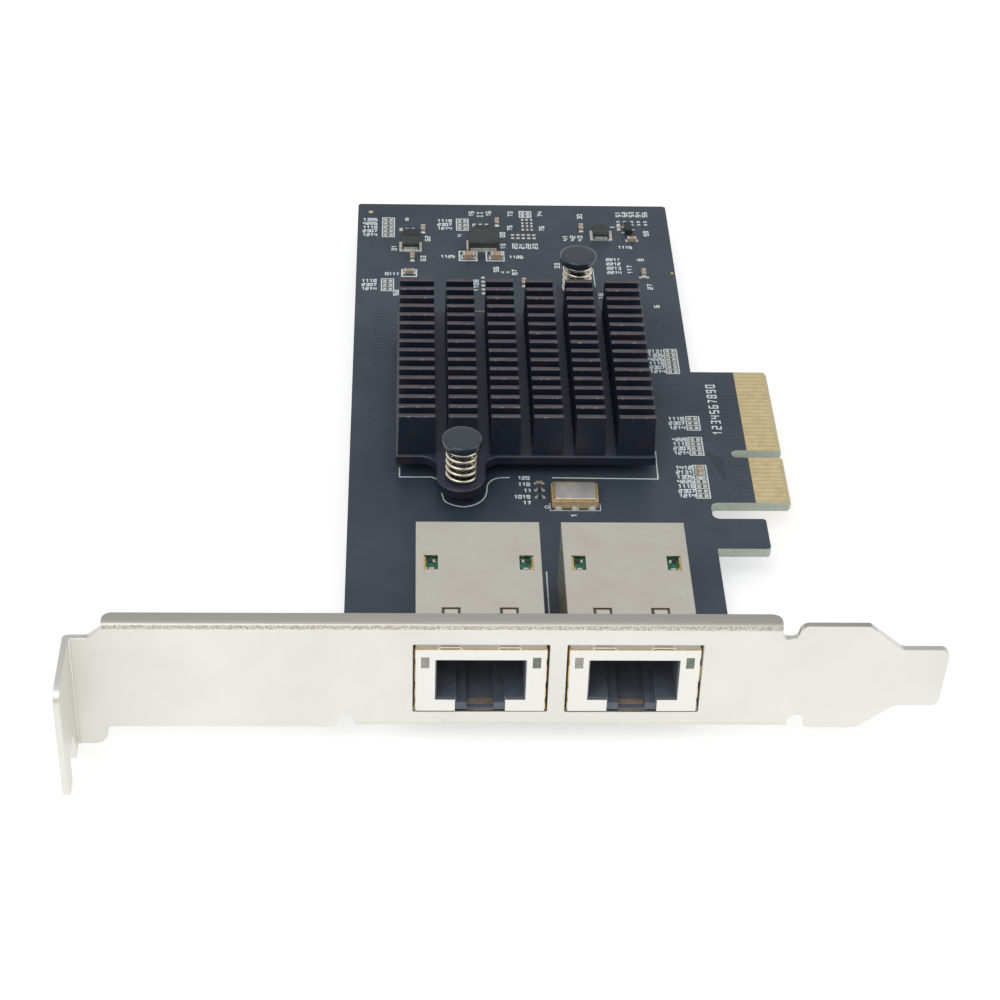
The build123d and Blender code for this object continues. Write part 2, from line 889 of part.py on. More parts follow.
# Oscillator: a ceramic base with a flat metal lid
oscillator_middle = (board_left + oscillator_from_left, oscillator_from_face)
with BuildPart() as oscillator_base:
    with BuildSketch(level(board_top)) as oscillator_outline:
        with Locations(oscillator_middle):
            Rectangle(oscillator_width, oscillator_length)
            chamfer(oscillator_outline.vertices(), oscillator_corner)
    extrude(amount=oscillator_height)
save(oscillator_base, "oscillator_base")

with BuildPart() as oscillator_cover:
    with BuildSketch(level(board_top + oscillator_height)) as lid_outline:
        with Locations(oscillator_middle):
            Rectangle(
                oscillator_width - 2 * oscillator_lid_inset,
                oscillator_length - 2 * oscillator_lid_inset,
            )
            chamfer(lid_outline.vertices(), oscillator_corner)
    extrude(amount=oscillator_lid)
save(oscillator_cover, "oscillator_lid")


# Small parts on the board
def from_back(across, back):
    """Give a point that is measured from the left and the back edge of the board."""
    return (board_left + across, board_back - back)


def from_face(across, along):
    """Give a point that is measured from the board's left edge and the bracket's face."""
    return (board_left + across, along)


# Each inductor is a moulded block on two folded terminals
inductor_points = {use: from_back(*place) for use, place in inductor_places.items()}
for use, point in inductor_points.items():
    width, length, height = inductor_sizes[use]
    with BuildPart() as inductor:
        with BuildSketch(level(board_top + terminal_thickness)):
            with Locations(point):
                Rectangle(width, length)
        extrude(amount=height - terminal_thickness)
        chamfer(inductor.edges().group_by(Axis.Z)[-1], inductor_bevel)
        chamfer(inductor.edges().filter_by(Axis.Z), inductor_bevel)
    save(inductor, f"inductor_{use}")

with BuildPart() as inductor_terminals:
    for use, point in inductor_points.items():
        width, length, height = inductor_sizes[use]
        for direction in (-1, 1):
            end = point[1] + direction * length / 2
            with BuildSketch(section(point[0])):
                with BuildLine():
                    outer = end + direction * terminal_thickness
                    inside = end - direction * terminal_foot
                    foot = board_top + terminal_thickness
                    rise = board_top + terminal_rise
                    Polyline(
                        (inside, board_top),
                        (outer, board_top),
                        (outer, rise),
                        (end, rise),
                        (end, foot),
                        (inside, foot),
                        close=True,
                    )
                make_face()
            extrude(amount=width / 2 - terminal_side_inset, both=True)
save(inductor_terminals, "inductor_terminals")

regulator_points = {use: from_back(*place) for use, place in regulator_places.items()}
for use, point in regulator_points.items():
    with BuildPart() as regulator:
        with BuildSketch(level(board_top)):
            with Locations(point):
                Rectangle(regulator_width, regulator_length)
        extrude(amount=regulator_height)
    save(regulator, f"regulator_{use}")

transistor_point = from_back(*transistor_place)
with BuildPart() as transistor:
    with BuildSketch(level(board_top)):
        with Locations(transistor_point):
            Rectangle(transistor_width, transistor_length)
    extrude(amount=transistor_height)
save(transistor, "transistor")

with BuildPart() as chip_leads:
    with BuildSketch(level(board_top)):
        for point in regulator_points.values():
            for direction in (-1, 1):
                reach = direction * (regulator_length + lead_length) / 2
                with Locations((point[0], point[1] + reach)):
                    with GridLocations(lead_pitch, 0, regulator_leads, 1):
                        Rectangle(lead_width, lead_length)
        reach = (transistor_width + lead_length) / 2
        with Locations((transistor_point[0] + reach, transistor_point[1])):
            Rectangle(lead_length, lead_width)
        for direction in (-1, 1):
            with Locations((transistor_point[0] - reach,
                            transistor_point[1] + direction * lead_pitch)):
                Rectangle(lead_length, lead_width)
    extrude(amount=lead_thickness)
save(chip_leads, "chip_leads")

# Chip capacitors and resistors, each as a size, a middle and whether it runs along the card
capacitors = [
    (size, from_back(across, back), lengthways)
    for size, across, back, lengthways in capacitor_places
] + [
    (size, from_face(across, along), lengthways)
    for size, across, along, lengthways in front_capacitor_places
]
resistors = [
    (size, from_face(across, along), lengthways)
    for size, across, along, lengthways in front_resistor_places
]


def build_chips(name, chips):
    """Build the bodies of a group of chips, and their metal ends as a second group."""
    with BuildPart() as bodies:
        for size, point, lengthways in chips:
            length, width, height = size
            turn = 90 if lengthways else 0
            with BuildSketch(level(board_top + chip_end_lip)):
                with Locations(Location((point[0], point[1], 0), (0, 0, turn))):
                    Rectangle(length * (1 - 2 * chip_end_share), width - 2 * chip_end_lip)
            extrude(amount=height - 2 * chip_end_lip)
    save(bodies, name)

    with BuildPart() as ends:
        for size, point, lengthways in chips:
            length, width, height = size
            turn = 90 if lengthways else 0
            end_length = length * chip_end_share
            with BuildSketch(level(board_top)):
                with Locations(Location((point[0], point[1], 0), (0, 0, turn))):
                    with GridLocations(length - end_length, 0, 2, 1):
                        Rectangle(end_length, width)
            extrude(amount=height)
    save(ends, f"{name}_ends")


build_chips("ceramic_capacitors", capacitors)
build_chips("chip_resistors", resistors)
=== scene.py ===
"""Looks of a network interface card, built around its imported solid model.

The card lies flat with its components up. Places are measured in millimetres on the card:
across runs from the screw tab's outer face, along runs back from the bracket's outer face,
and height runs up from the bracket's lower edge. The function spot turns them into metres
in the shared frame. Each sub-assembly is a class that builds its meshes and dresses them.
"""

from __future__ import annotations

import itertools
import json
import logging
import math
from dataclasses import dataclass, field
from enum import Enum
from typing import Any, Callable, Sequence

import bmesh
import bpy
from mathutils import Matrix, Vector

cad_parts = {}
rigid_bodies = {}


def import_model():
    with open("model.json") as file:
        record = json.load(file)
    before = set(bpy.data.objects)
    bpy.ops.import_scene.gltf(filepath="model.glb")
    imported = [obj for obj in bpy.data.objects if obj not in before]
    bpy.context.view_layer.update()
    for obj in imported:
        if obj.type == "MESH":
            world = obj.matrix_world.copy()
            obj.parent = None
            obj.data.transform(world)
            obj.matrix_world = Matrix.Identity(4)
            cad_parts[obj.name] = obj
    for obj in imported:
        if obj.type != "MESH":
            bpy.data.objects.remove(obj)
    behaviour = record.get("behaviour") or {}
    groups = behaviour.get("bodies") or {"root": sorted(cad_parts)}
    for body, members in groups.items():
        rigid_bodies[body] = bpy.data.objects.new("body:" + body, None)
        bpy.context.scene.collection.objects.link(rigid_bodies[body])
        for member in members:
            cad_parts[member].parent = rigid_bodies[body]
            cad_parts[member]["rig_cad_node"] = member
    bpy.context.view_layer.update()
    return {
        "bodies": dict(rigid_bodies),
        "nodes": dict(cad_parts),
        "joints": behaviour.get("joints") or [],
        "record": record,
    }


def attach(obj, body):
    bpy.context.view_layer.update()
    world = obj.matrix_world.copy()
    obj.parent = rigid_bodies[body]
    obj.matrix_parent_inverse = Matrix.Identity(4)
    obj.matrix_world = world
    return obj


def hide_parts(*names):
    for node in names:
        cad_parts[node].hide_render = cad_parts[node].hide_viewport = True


LOG = logging.getLogger("card")
MM = 0.001
BODY = "root"
TINY = 1e-6

# Where the measured places start, in the shared frame
FRAME_ACROSS = -60.01
FRAME_ALONG = -62.235
FRAME_HEIGHT = 3.17

# Sizes that several sub-assemblies share, in millimetres
BOARD_TOP = 2.43
BOARD_BOTTOM = 0.86
MASK_EDGE = 99.66
MASK_FOOT = 47.0
BRACKET_WIDTH = 18.42
BASE_TOP = 5.98
FIN_HEIGHT = 7.0
FIN_PITCH = 2.56
PRINT_HEIGHT = 0.03
PORT_LEFTS = {"left": 47.34, "right": 68.22}
PORT_WIDTH = 17.7
PORT_TOP = 14.07
WINDOW_END = 20.6
PIN_PLACES = {"front": (54.3, 49.6), "rear": (74.6, 101.8)}

Point = tuple[float, float]
Place = tuple[float, float, float]
Colour = tuple[float, float, float]
Socket = bpy.types.NodeSocket
Piece = bpy.types.Object


class Turn(Enum):
    """Which way a small part or a row of figures lies on the board."""

    ACROSS = 0.0
    ALONG = math.pi / 2


def spot(across: float, along: float, height: float) -> Vector:
    """Turn a place on the card, in millimetres, into metres in the shared frame."""
    return Vector((across + FRAME_ACROSS, along + FRAME_ALONG, height + FRAME_HEIGHT)) * MM


class Wire:
    """A shader socket that Python's operators work on, each adding its Math node."""

    def __init__(self, graph: Graph, socket: Socket) -> None:
        """Keep the graph and the socket that carries the value."""
        self.graph = graph
        self.socket = socket

    def _join(self, operation: str, first: Any, second: Any = 0.0) -> Wire:
        """Add a Math node for two wires or numbers and give its result."""
        made = self.graph.node("ShaderNodeMath", {"operation": operation},
                               {0: first, 1: second})
        return Wire(self.graph, made.outputs[0])

    def __add__(self, other: Any) -> Wire:
        """Add a wire or number."""
        return self._join("ADD", self, other)

    __radd__ = __add__

    def __rsub__(self, other: Any) -> Wire:
        """Subtract this from a wire or number."""
        return self._join("SUBTRACT", other, self)

    def __sub__(self, other: Any) -> Wire:
        """Subtract a wire or number."""
        return self._join("SUBTRACT", self, other)

    def __mul__(self, other: Any) -> Wire:
        """Multiply by a wire or number."""
        return self._join("MULTIPLY", self, other)

    __rmul__ = __mul__

    def __mod__(self, other: Any) -> Wire:
        """Take the positive remainder."""
        return self._join("FLOORED_MODULO", self, other)

    def __abs__(self) -> Wire:
        """Drop the sign."""
        return self._join("ABSOLUTE", self)

    def over(self, limit: Any) -> Wire:
        """Give 1 where this is greater than the limit, and 0 elsewhere."""
        return self._join("GREATER_THAN", self, limit)

    def under(self, limit: Any) -> Wire:
        """Give 1 where this is less than the limit, and 0 elsewhere."""
        return self._join("LESS_THAN", self, limit)

    def sine(self) -> Wire:
        """Take the sine."""
        return self._join("SINE", self)

    def either(self, other: Any) -> Wire:
        """Take the larger of this and another."""
        return self._join("MAXIMUM", self, other)

    def between(self, low: float, high: float) -> Wire:
        """Rise smoothly from 0 at the low value to 1 at the high one."""
        made = self.graph.node("ShaderNodeMapRange", {"interpolation_type": "SMOOTHSTEP"},
                               {"Value": self, "From Min": low, "From Max": high})
        return Wire(self.graph, made.outputs["Result"])


class Nodes:
    """A node tree that every node is added to by one method."""

    def __init__(self, tree: bpy.types.NodeTree) -> None:
        """Keep the tree."""
        self.tree = tree

    def node(self, kind: str, settings: dict[str, Any] | None = None,
             inputs: dict[Any, Any] | None = None) -> bpy.types.Node:
        """Add a node, set it up and feed its sockets.

        Args:
            kind: The node's type.
            settings: The node's own settings, which are set first. Stops are a ramp's
                places and grey levels, from low to high.
            inputs: Values, wires or sockets for the input sockets, by name or number.

        Returns:
            The new node.
        """
        made = self.tree.nodes.new(kind)
        for key, value in (settings or {}).items():
            if key != "stops":
                setattr(made, key, value)
                continue
            elements = made.color_ramp.elements
            while len(elements) < len(value):
                elements.new(1.0)
            for element, (place, level) in zip(elements, value):
                element.position = place
                element.color = (level, level, level, 1.0)
        for key, value in (inputs or {}).items():
            source = value.socket if isinstance(value, Wire) else value
            if isinstance(source, Socket):
                self.tree.links.new(source, made.inputs[key])
            else:
                made.inputs[key].default_value = source
        return made


class Graph(Nodes):
    """The node graph of one material or of the world."""

    def __init__(self, owner: bpy.types.Material | bpy.types.World) -> None:
        """Empty the owner's node tree and keep it."""
        owner.use_nodes = True
        super().__init__(owner.node_tree)
        self.tree.nodes.clear()
        self._coordinates: bpy.types.Node | None = None

    @property
    def coordinates(self) -> bpy.types.Node:
        """Give the Texture Coordinate node, made once."""
        if self._coordinates is None:
            self._coordinates = self.node("ShaderNodeTexCoord")
        return self._coordinates

    @property
    def place(self) -> Socket:
        """Give the Object coordinates, in metres."""
        return self.coordinates.outputs["Object"]

    def axes(self, source: Socket) -> tuple[Wire, Wire, Wire]:
        """Split a vector into its three parts."""
        made = self.node("ShaderNodeSeparateXYZ", inputs={0: source})
        return tuple(Wire(self, out) for out in made.outputs)

    def facing(self) -> tuple[Wire, Wire, Wire]:
        """Give the three parts of the surface's own normal."""
        return self.axes(self.node("ShaderNodeNewGeometry").outputs["True Normal"])

    def noise(self, size: float, detail: float = 3.0,
              stretch: Sequence[float] | None = None) -> Wire:
        """Add a noise over the object.

        Args:
            size: How wide one blotch is, in millimetres.
            detail: How many finer layers lie over it.
            stretch: How much to scale each axis first, if at all.

        Returns:
            The noise, from 0 to 1 and about 0.5 in the middle.
        """
        where = self.place
        if stretch:
            where = self.node("ShaderNodeMapping", {"vector_type": "POINT"},
                              {"Vector": where, "Scale": stretch}).outputs[0]
        made = self.node("ShaderNodeTexNoise", inputs={
            "Vector": where, "Scale": 1.0 / (size * MM), "Detail": detail, "Roughness": 0.55})
        return Wire(self, made.outputs[0])

    def specks(self, spacing: float, radius: float, share: float) -> Wire:
        """Scatter small round specks over the object.

        Args:
            spacing: How far apart the places of the specks are, in millimetres.
            radius: The radius of a speck, in millimetres.
            share: What share of the places has a speck.

        Returns:
            A mask that is 1 on a speck.
        """
        made = self.node("ShaderNodeTexVoronoi", inputs={
            "Vector": self.place, "Scale": 1.0 / (spacing * MM), "Randomness": 1.0})
        near = Wire(self, made.outputs["Distance"]).under(radius / spacing)
        return near * self.axes(made.outputs["Color"])[0].under(share)

    def mix(self, factor: Any, first: Any, second: Any) -> Socket:
        """Mix two colours, each three numbers or a socket, by a wire or number."""
        made = self.node("ShaderNodeMix", {"data_type": "RGBA", "clamp_factor": True},
                         {0: factor, 6: self.ready(first), 7: self.ready(second)})
        return made.outputs[2]

    @staticmethod
    def ready(colour: Any) -> Any:
        """Give a plain colour its fourth number."""
        return colour if isinstance(colour, Socket) else (*colour, 1.0)

    def bump(self, height: Wire, strength: float, depth: float) -> Socket:
        """Turn a height from 0 to 1, so many millimetres deep, into a normal."""
        made = self.node("ShaderNodeBump", inputs={
            "Strength": strength, "Distance": depth * MM, "Height": height})
        return made.outputs[0]

    def surface(self, colour: Any, roughness: Any, metallic: float = 0.0,
                normal: Socket | None = None, coat: float = 0.0) -> None:
        """Finish the graph with one Principled shader.

        Args:
            colour: The base colour, three numbers or a socket.
            roughness: The roughness, a number or a wire.
            metallic: How metallic it is.
            normal: A normal from bump, if any.
            coat: The weight of its clear coat.
        """
        inputs = {"Base Color": self.ready(colour), "Roughness": roughness,
                  "Metallic": metallic, "Coat Weight": coat}
        if normal is not None:
            inputs["Normal"] = normal
        shader = self.node("ShaderNodeBsdfPrincipled", inputs=inputs)
        self.node("ShaderNodeOutputMaterial", inputs={"Surface": shader.outputs[0]})


class GrowingTree(Nodes):
    """A Geometry Nodes tree with named inputs, ending in real geometry with a material."""

    def __init__(self, name: str, **inputs: str) -> None:
        """Start an empty tree that takes and gives geometry.

        Args:
            name: The tree's name.
            **inputs: The kind of each further input, its name having _ for a space.
        """
        super().__init__(bpy.data.node_groups.new(name, "GeometryNodeTree"))
        self._identifiers: dict[str, str] = {}
        for way in ("INPUT", "OUTPUT"):
            self.tree.interface.new_socket("Geometry", in_out=way,
                                           socket_type="NodeSocketGeometry")
        for key, kind in {"Finish": "Material", **inputs}.items():
            item = self.tree.interface.new_socket(key.replace("_", " "), in_out="INPUT",
                                                  socket_type="NodeSocket" + kind)
            self._identifiers[item.name] = item.identifier
        self.source = self.tree.nodes.new("NodeGroupInput")

    def given(self, name: str) -> Socket:
        """Give the socket of a named input."""
        return self.source.outputs[name]

    def copies(self, points: Socket, source: Socket, **more: Socket) -> Socket:
        """Stand a copy of some geometry on every point.

        Args:
            points: The points.
            source: The geometry to copy, or the object whose geometry it is.
            **more: Links for the node's other sockets.

        Returns:
            The copies.
        """
        if source.type == "OBJECT":
            source = self.node("GeometryNodeObjectInfo", inputs={
                "Object": source, "As Instance": True}).outputs["Geometry"]
        made = self.node("GeometryNodeInstanceOnPoints", inputs={
            "Points": points, "Instance": source, **more})
        return made.outputs[0]

    def end(self, geometry: Socket, smooth: bool) -> None:
        """End the tree: make instances real, shade them and set the material.

        Args:
            geometry: What to give out.
            smooth: Whether faces are shaded smooth.
        """
        real = self.node("GeometryNodeRealizeInstances", inputs={0: geometry})
        shaded = self.node("GeometryNodeSetShadeSmooth",
                           inputs={"Geometry": real.outputs[0], "Shade Smooth": smooth})
        dressed = self.node("GeometryNodeSetMaterial", inputs={
            "Geometry": shaded.outputs[0], "Material": self.given("Finish")})
        self.node("NodeGroupOutput", inputs={0: dressed.outputs[0]})

    def grow(self, name: str, host: bpy.types.Mesh, values: dict[str, Any]) -> Piece:
        """Run the tree on a mesh and keep the result as a plain mesh.

        Args:
            name: The new piece's name.
            host: The mesh that goes in.
            values: A value for each named input.

        Returns:
            The piece, with no modifier left on it.
        """
        piece = linked(name, host)
        modifier = piece.modifiers.new("grow", "NODES")
        modifier.node_group = self.tree
        for key, value in values.items():
            modifier[self._identifiers[key]] = value
        piece.update_tag()
        bpy.context.view_layer.update()
        depsgraph = bpy.context.evaluated_depsgraph_get()
        made = bpy.data.meshes.new_from_object(piece.evaluated_get(depsgraph))
        piece.modifiers.remove(modifier)
        piece.data = made
        made.name = name
        bpy.data.meshes.remove(host)
        if not made.materials:
            made.materials.append(values["Finish"])
        return piece


def linked(name: str, data: bpy.types.ID) -> Piece:
    """Make an object of some data and put it in the scene.

    Args:
        name: The object's name.
        data: Its mesh, lamp or camera.

    Returns:
        The object.
    """
    made = bpy.data.objects.new(name, data)
    bpy.context.scene.collection.objects.link(made)
    return made


def box(left: float, near: float, right: float, far: float) -> list[Point]:
    """Give the four corners of a rectangle, anticlockwise from the near left one."""
    return [(left, near), (right, near), (right, far), (left, far)]


def arc(middle: Point, radius: float, start: float, end: float, steps: int) -> list[Point]:
    """Give the points of an arc between two angles in degrees, its end included."""
    angles = [math.radians(start + (end - start) * k / steps) for k in range(steps + 1)]
    return [(middle[0] + radius * math.cos(a), middle[1] + radius * math.sin(a))
            for a in angles]


def circle(middle: Point, radius: float, steps: int) -> list[Point]:
    """Give the points of a circle, anticlockwise."""
    return arc(middle, radius, 0, 360, steps)[:-1]


def clipped(wide: float, deep: float, clip: float) -> list[Point]:
    """Give a rectangle round the origin from its half sizes, its corners clipped."""
    return [(wide - clip, -deep), (wide, clip - deep), (wide, deep - clip), (wide - clip, deep),
            (clip - wide, deep), (-wide, deep - clip), (-wide, clip - deep),
            (clip - wide, -deep)]


def rounded(corners: Sequence[Place], steps: int = 6) -> list[Point]:
    """Round the corners of an outline.

    Args:
        corners: Both coordinates and the radius of each corner.
        steps: How many steps a rounding takes.

    Returns:
        The rounded outline.
    """
    made: list[Point] = []
    for i, (x, y, radius) in enumerate(corners):
        if radius == 0.0:
            made.append((x, y))
            continue
        here = Vector((x, y))
        before = (Vector(corners[i - 1][:2]) - here).normalized()
        after = (Vector(corners[(i + 1) % len(corners)][:2]) - here).normalized()
        half = math.acos(max(-1.0, min(1.0, before.dot(after)))) / 2
        middle = here + (before + after).normalized() * (radius / math.sin(half))
        first = here + before * (radius / math.tan(half)) - middle
        second = here + after * (radius / math.tan(half)) - middle
        start = math.degrees(math.atan2(first.y, first.x))
        turn = (math.degrees(math.atan2(second.y, second.x)) - start + 180.0) % 360.0 - 180.0
        made += arc(tuple(middle), radius, start, start + turn, steps)
    return made


def drawn_in(outline: Sequence[Point], amount: float) -> list[Point]:
    """Move an anticlockwise outline inwards.

    Args:
        outline: The outline.
        amount: How far each side moves, below 0 to move outwards.

    Returns:
        The smaller outline.
    """
    made = []
    for i, point in enumerate(outline):
        before = Vector(point) - Vector(outline[i - 1])
        after = Vector(outline[(i + 1) % len(outline)]) - Vector(point)
        before = before.normalized() if before.length > TINY else after.normalized()
        after = after.normalized() if after.length > TINY else before
        first, second = Vector((-before.y, before.x)), Vector((-after.y, after.x))
        step = (first + second) * (amount / max(0.4, 1.0 + first.dot(second)))
        made.append((point[0] + step.x, point[1] + step.y))
    return made


@dataclass
class Shape:
    """A mesh in the making, in the card's own millimetres."""

    mesh: bmesh.types.BMesh = field(default_factory=bmesh.new)

    def join(self, rings: Sequence[Sequence[Sequence[float]]], ends: bool = True,
             closed: bool = False,
             place: Callable[[float, float, float], Vector] = spot) -> list[list[Any]]:
        """Join outlines to one another by faces. An outline of one point is a pole.

        Args:
            rings: The points of each outline.
            ends: Whether the first and the last outline are closed by a face.
            closed: Whether the last outline joins the first.
            place: Turns a point into a place in the frame.

        Returns:
            The corners of each outline.
        """
        made = [[self.mesh.verts.new(place(*point)) for point in ring] for ring in rings]
        for back, front in zip(made, made[1:] + (made[:1] if closed else [])):
            count = max(len(back), len(front))
            for i in range(count):
                j = (i + 1) % count
                corners = (back[i % len(back)], back[j % len(back)],
                           front[j % len(front)], front[i % len(front)])
                self.mesh.faces.new(list(dict.fromkeys(corners)))
        if ends and not closed:
            for ring in (made[0][::-1], made[-1]):
                if len(ring) > 1:
                    self.mesh.faces.new(ring)
        return made

    def prism(self, outline: Sequence[Point], low: float, high: float,
              bevel: float = 0.0) -> None:
        """Add an upright prism with an optional bevel round its top.

        Args:
            outline: The corners of the base, anticlockwise from above.
            low: The height of the base.
            high: The height of the top.
            bevel: How far the top edge is cut back.
        """
        rings = [[(*p, low) for p in outline], [(*p, high - bevel) for p in outline]]
        if bevel > 0.0:
            middle = [sum(side) / len(outline) for side in zip(*outline)]
            rings.append([])
            for across, along in outline:
                reach = math.hypot(across - middle[0], along - middle[1])
                share = 1.0 - min(0.9, bevel * math.sqrt(2.0) / max(reach, bevel))
                rings[-1].append((middle[0] + (across - middle[0]) * share,
                                  middle[1] + (along - middle[1]) * share, high))
        self.join(rings)

    def tablet(self, middle: Point, size: Point, low: float, high: float,
               bevel: float = 0.0) -> None:
        """Add a rectangular block with an optional bevel round its top."""
        (across, along), (wide, deep) = middle, size
        self.prism(box(across - wide / 2, along - deep / 2, across + wide / 2,
                       along + deep / 2), low, high, bevel)

    def ribbon(self, path: Sequence[Point], width: float, height: float,
               closed: bool = False, low: float = BOARD_TOP) -> None:
        """Add a flat line of print, track or solder along a path.

        Args:
            path: The corners of its middle line.
            width: Its width.
            height: How thick it is.
            closed: Whether the end joins the start.
            low: The height of its base.
        """
        rings, last, high = [], len(path) - 1, low + height
        for i, (across, along) in enumerate(path):
            before = path[i - 1] if closed or i > 0 else path[i]
            after = path[(i + 1) % len(path)] if closed or i < last else path[i]
            first = Vector((across - before[0], along - before[1]))
            second = Vector((after[0] - across, after[1] - along))
            first = first.normalized() if first.length > 0 else second.normalized()
            second = second.normalized() if second.length > 0 else first
            normal = Vector((-(first + second).y, (first + second).x))
            normal = normal.normalized() if normal.length > TINY else Vector((-first.y, first.x))
            flare = 1.0 / max(0.5, normal.dot(Vector((-second.y, second.x))))
            step = normal * width / 2 * flare
            left = (across + step.x, along + step.y)
            right = (across - step.x, along - step.y)
            rings.append([(*left, low), (*right, low), (*right, high), (*left, high)])
        self.join(rings, closed=closed)

    def turned(self, middle: Point, profile: Sequence[Point], steps: int) -> None:
        """Turn a profile of radii and heights, from the bottom up, round an upright axis."""
        self.join([[(*p, height) for p in
                    (circle(middle, radius, steps) if radius > TINY else [middle])]
                   for radius, height in profile])

    def sweep(self, path: Sequence[Place], outline: Sequence[Point]) -> None:
        """Carry a flat outline along a path that runs across and up.

        Args:
            path: The across, along and height of each point.
            outline: The outline's corners, as steps along and outwards.
        """
        points, side, rings = [Vector(p) for p in path], Vector((0.0, 1.0, 0.0)), []
        for i, point in enumerate(points):
            ahead = points[min(i + 1, len(points) - 1)] - points[max(i - 1, 0)]
            out = side.cross(ahead.normalized())
            rings.append([point + side * a + out * b for a, b in outline])
        self.join(rings)

    def plate(self, outlines: Sequence[Sequence[Point]], levels: Sequence[Point],
              place: Callable[[float, float, float], Vector]) -> None:
        """Add a flat plate with holes and bevelled edges.

        Args:
            outlines: The outline of the plate and then of each hole, anticlockwise.
            levels: How far the edges are cut back and where they lie, from face to face.
            place: Turns a point of the outline and a level into a place.
        """
        faces: list[list[bmesh.types.BMEdge]] = [[], []]
        for number, loop in enumerate(outlines):
            side = 1 if number == 0 else -1
            rings = self.join([[(*p, level) for p in drawn_in(loop, side * inset)]
                               for inset, level in levels], ends=False, place=place)
            for edges, ring in zip(faces, (rings[0], rings[-1])):
                edges += [self.mesh.edges.get(pair) for pair in zip(ring, ring[1:] + ring[:1])]
        for edges in faces:
            bmesh.ops.triangle_fill(self.mesh, use_beauty=True, use_dissolve=False,
                                    edges=edges)

    def finish(self, name: str, material: bpy.types.Material | None = None,
               smooth: float = 0.0) -> Piece:
        """Turn the shape into an object with its normals outwards.

        Args:
            name: The piece's name.
            material: The material of all its faces, if it has one.
            smooth: The angle in degrees up to which edges are shaded smooth, 0 for flat.

        Returns:
            The object, at the origin.
        """
        bmesh.ops.recalc_face_normals(self.mesh, faces=self.mesh.faces)
        made = bpy.data.meshes.new(name)
        self.mesh.to_mesh(made)
        self.mesh.free()
        if material:
            made.materials.append(material)
        if smooth > 0.0:
            made.polygons.foreach_set("use_smooth", [True] * len(made.polygons))
            made.set_sharp_from_angle(angle=math.radians(smooth))
        return linked(name, made)


def template(name: str, rings: Sequence[Sequence[Place]]) -> Piece:
    """Make the hidden shape that a tree copies, removed when the script is done with it.

    Args:
        name: The shape's name.
        rings: Its outlines from the bottom up, one unit in size or in metres.

    Returns:
        The shape.
    """
    shape = Shape()
    shape.join(rings, place=lambda x, y, z: Vector((x, y, z)))
    made = shape.finish(name)
    made.hide_render = True
    return made


def levelled(outline: Sequence[Point], levels: Sequence[Point]) -> list[list[Place]]:
    """Give an outline at levels, each a share of its size and a height."""
    return [[(x * share, y * share, height) for x, y in outline] for share, height in levels]


def block(name: str, clip: float, bevel: float) -> Piece:
    """Make a hidden unit block, its corners clipped and its top bevelled by shares."""
    return template(name, levelled(clipped(0.5, 0.5, clip), [
        (1.0, 0.0), (1.0, 1.0 - bevel), (1.0 - 1.2 * bevel, 1.0)]))


def settle(piece: Piece, slot: str, *stands_for: str) -> None:
    """Hand a finished piece to the frame.

    Args:
        piece: The finished piece.
        slot: The record's material slot that its finish belongs to; not used.
        *stands_for: The nodes of the solid model that it replaces.
    """
    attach(piece, BODY)
    if stands_for:
        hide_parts(*stands_for)
    LOG.info("%s: %d faces%s", piece.name, len(piece.data.polygons),
             f", stands for {', '.join(stands_for)}" if stands_for else "")


@dataclass(frozen=True)
class Finish:
    """A finish of the card. Each kind paints its own graph."""

    name: str

    def material(self) -> bpy.types.Material:
        """Make the material of this finish."""
        made = bpy.data.materials.new(self.name)
        self.paint(Graph(made))
        return made

    def paint(self, graph: Graph) -> None:
        """Build the finish's nodes.

        Args:
            graph: The empty graph of the material.
        """
        raise NotImplementedError


@dataclass(frozen=True)
class SolderMask(Finish):
    """Dark satin solder mask with a woven look, and bare laminate where it ends."""

    dark: Colour = (0.034, 0.050, 0.075)
    light: Colour = (0.056, 0.076, 0.104)
    laminate: Colour = (0.68, 0.60, 0.33)
    edge: Colour = (0.74, 0.82, 0.72)
    dust: Colour = (0.55, 0.58, 0.58)
    weave: float = 0.5
    roughness: float = 0.40

    def paint(self, graph: Graph) -> None:
        """Mix mask, laminate and cut edge by place and facing."""
        across, along, _ = graph.axes(graph.place)
        _, _, up = graph.facing()
        clouds = graph.noise(16.0, 4.0)
        mask = graph.mix(clouds.between(0.3, 0.7), self.dark, self.light)
        dusty = graph.mix(graph.specks(3.1, 0.085, 0.16) * 0.8, mask, self.dust)
        bare = (across.over((MASK_EDGE + FRAME_ACROSS) * MM)
                * along.over((MASK_FOOT + FRAME_ALONG) * MM))
        glass = graph.mix(graph.noise(1.2, 2.0), self.laminate,
                          tuple(c * 0.82 for c in self.laminate))
        top = graph.mix(bare, dusty, glass)
        side = abs(up).under(0.5)
        layers = graph.noise(0.5, 2.0, (1.0, 1.0, 9.0))
        cut = graph.mix(layers.between(0.35, 0.65), self.edge,
                        tuple(c * 0.7 for c in self.edge))
        turn = 2 * math.pi / (self.weave * MM)
        cloth = (across * turn).sine() * (along * turn).sine() * 0.5 + 0.5
        rough = self.roughness + bare * 0.15 + side * 0.3 + clouds * 0.08
        graph.surface(graph.mix(side, top, cut), rough,
                      normal=graph.bump(cloth * 0.6 + graph.noise(0.9, 2.0) * 0.4, 0.25, 0.012))


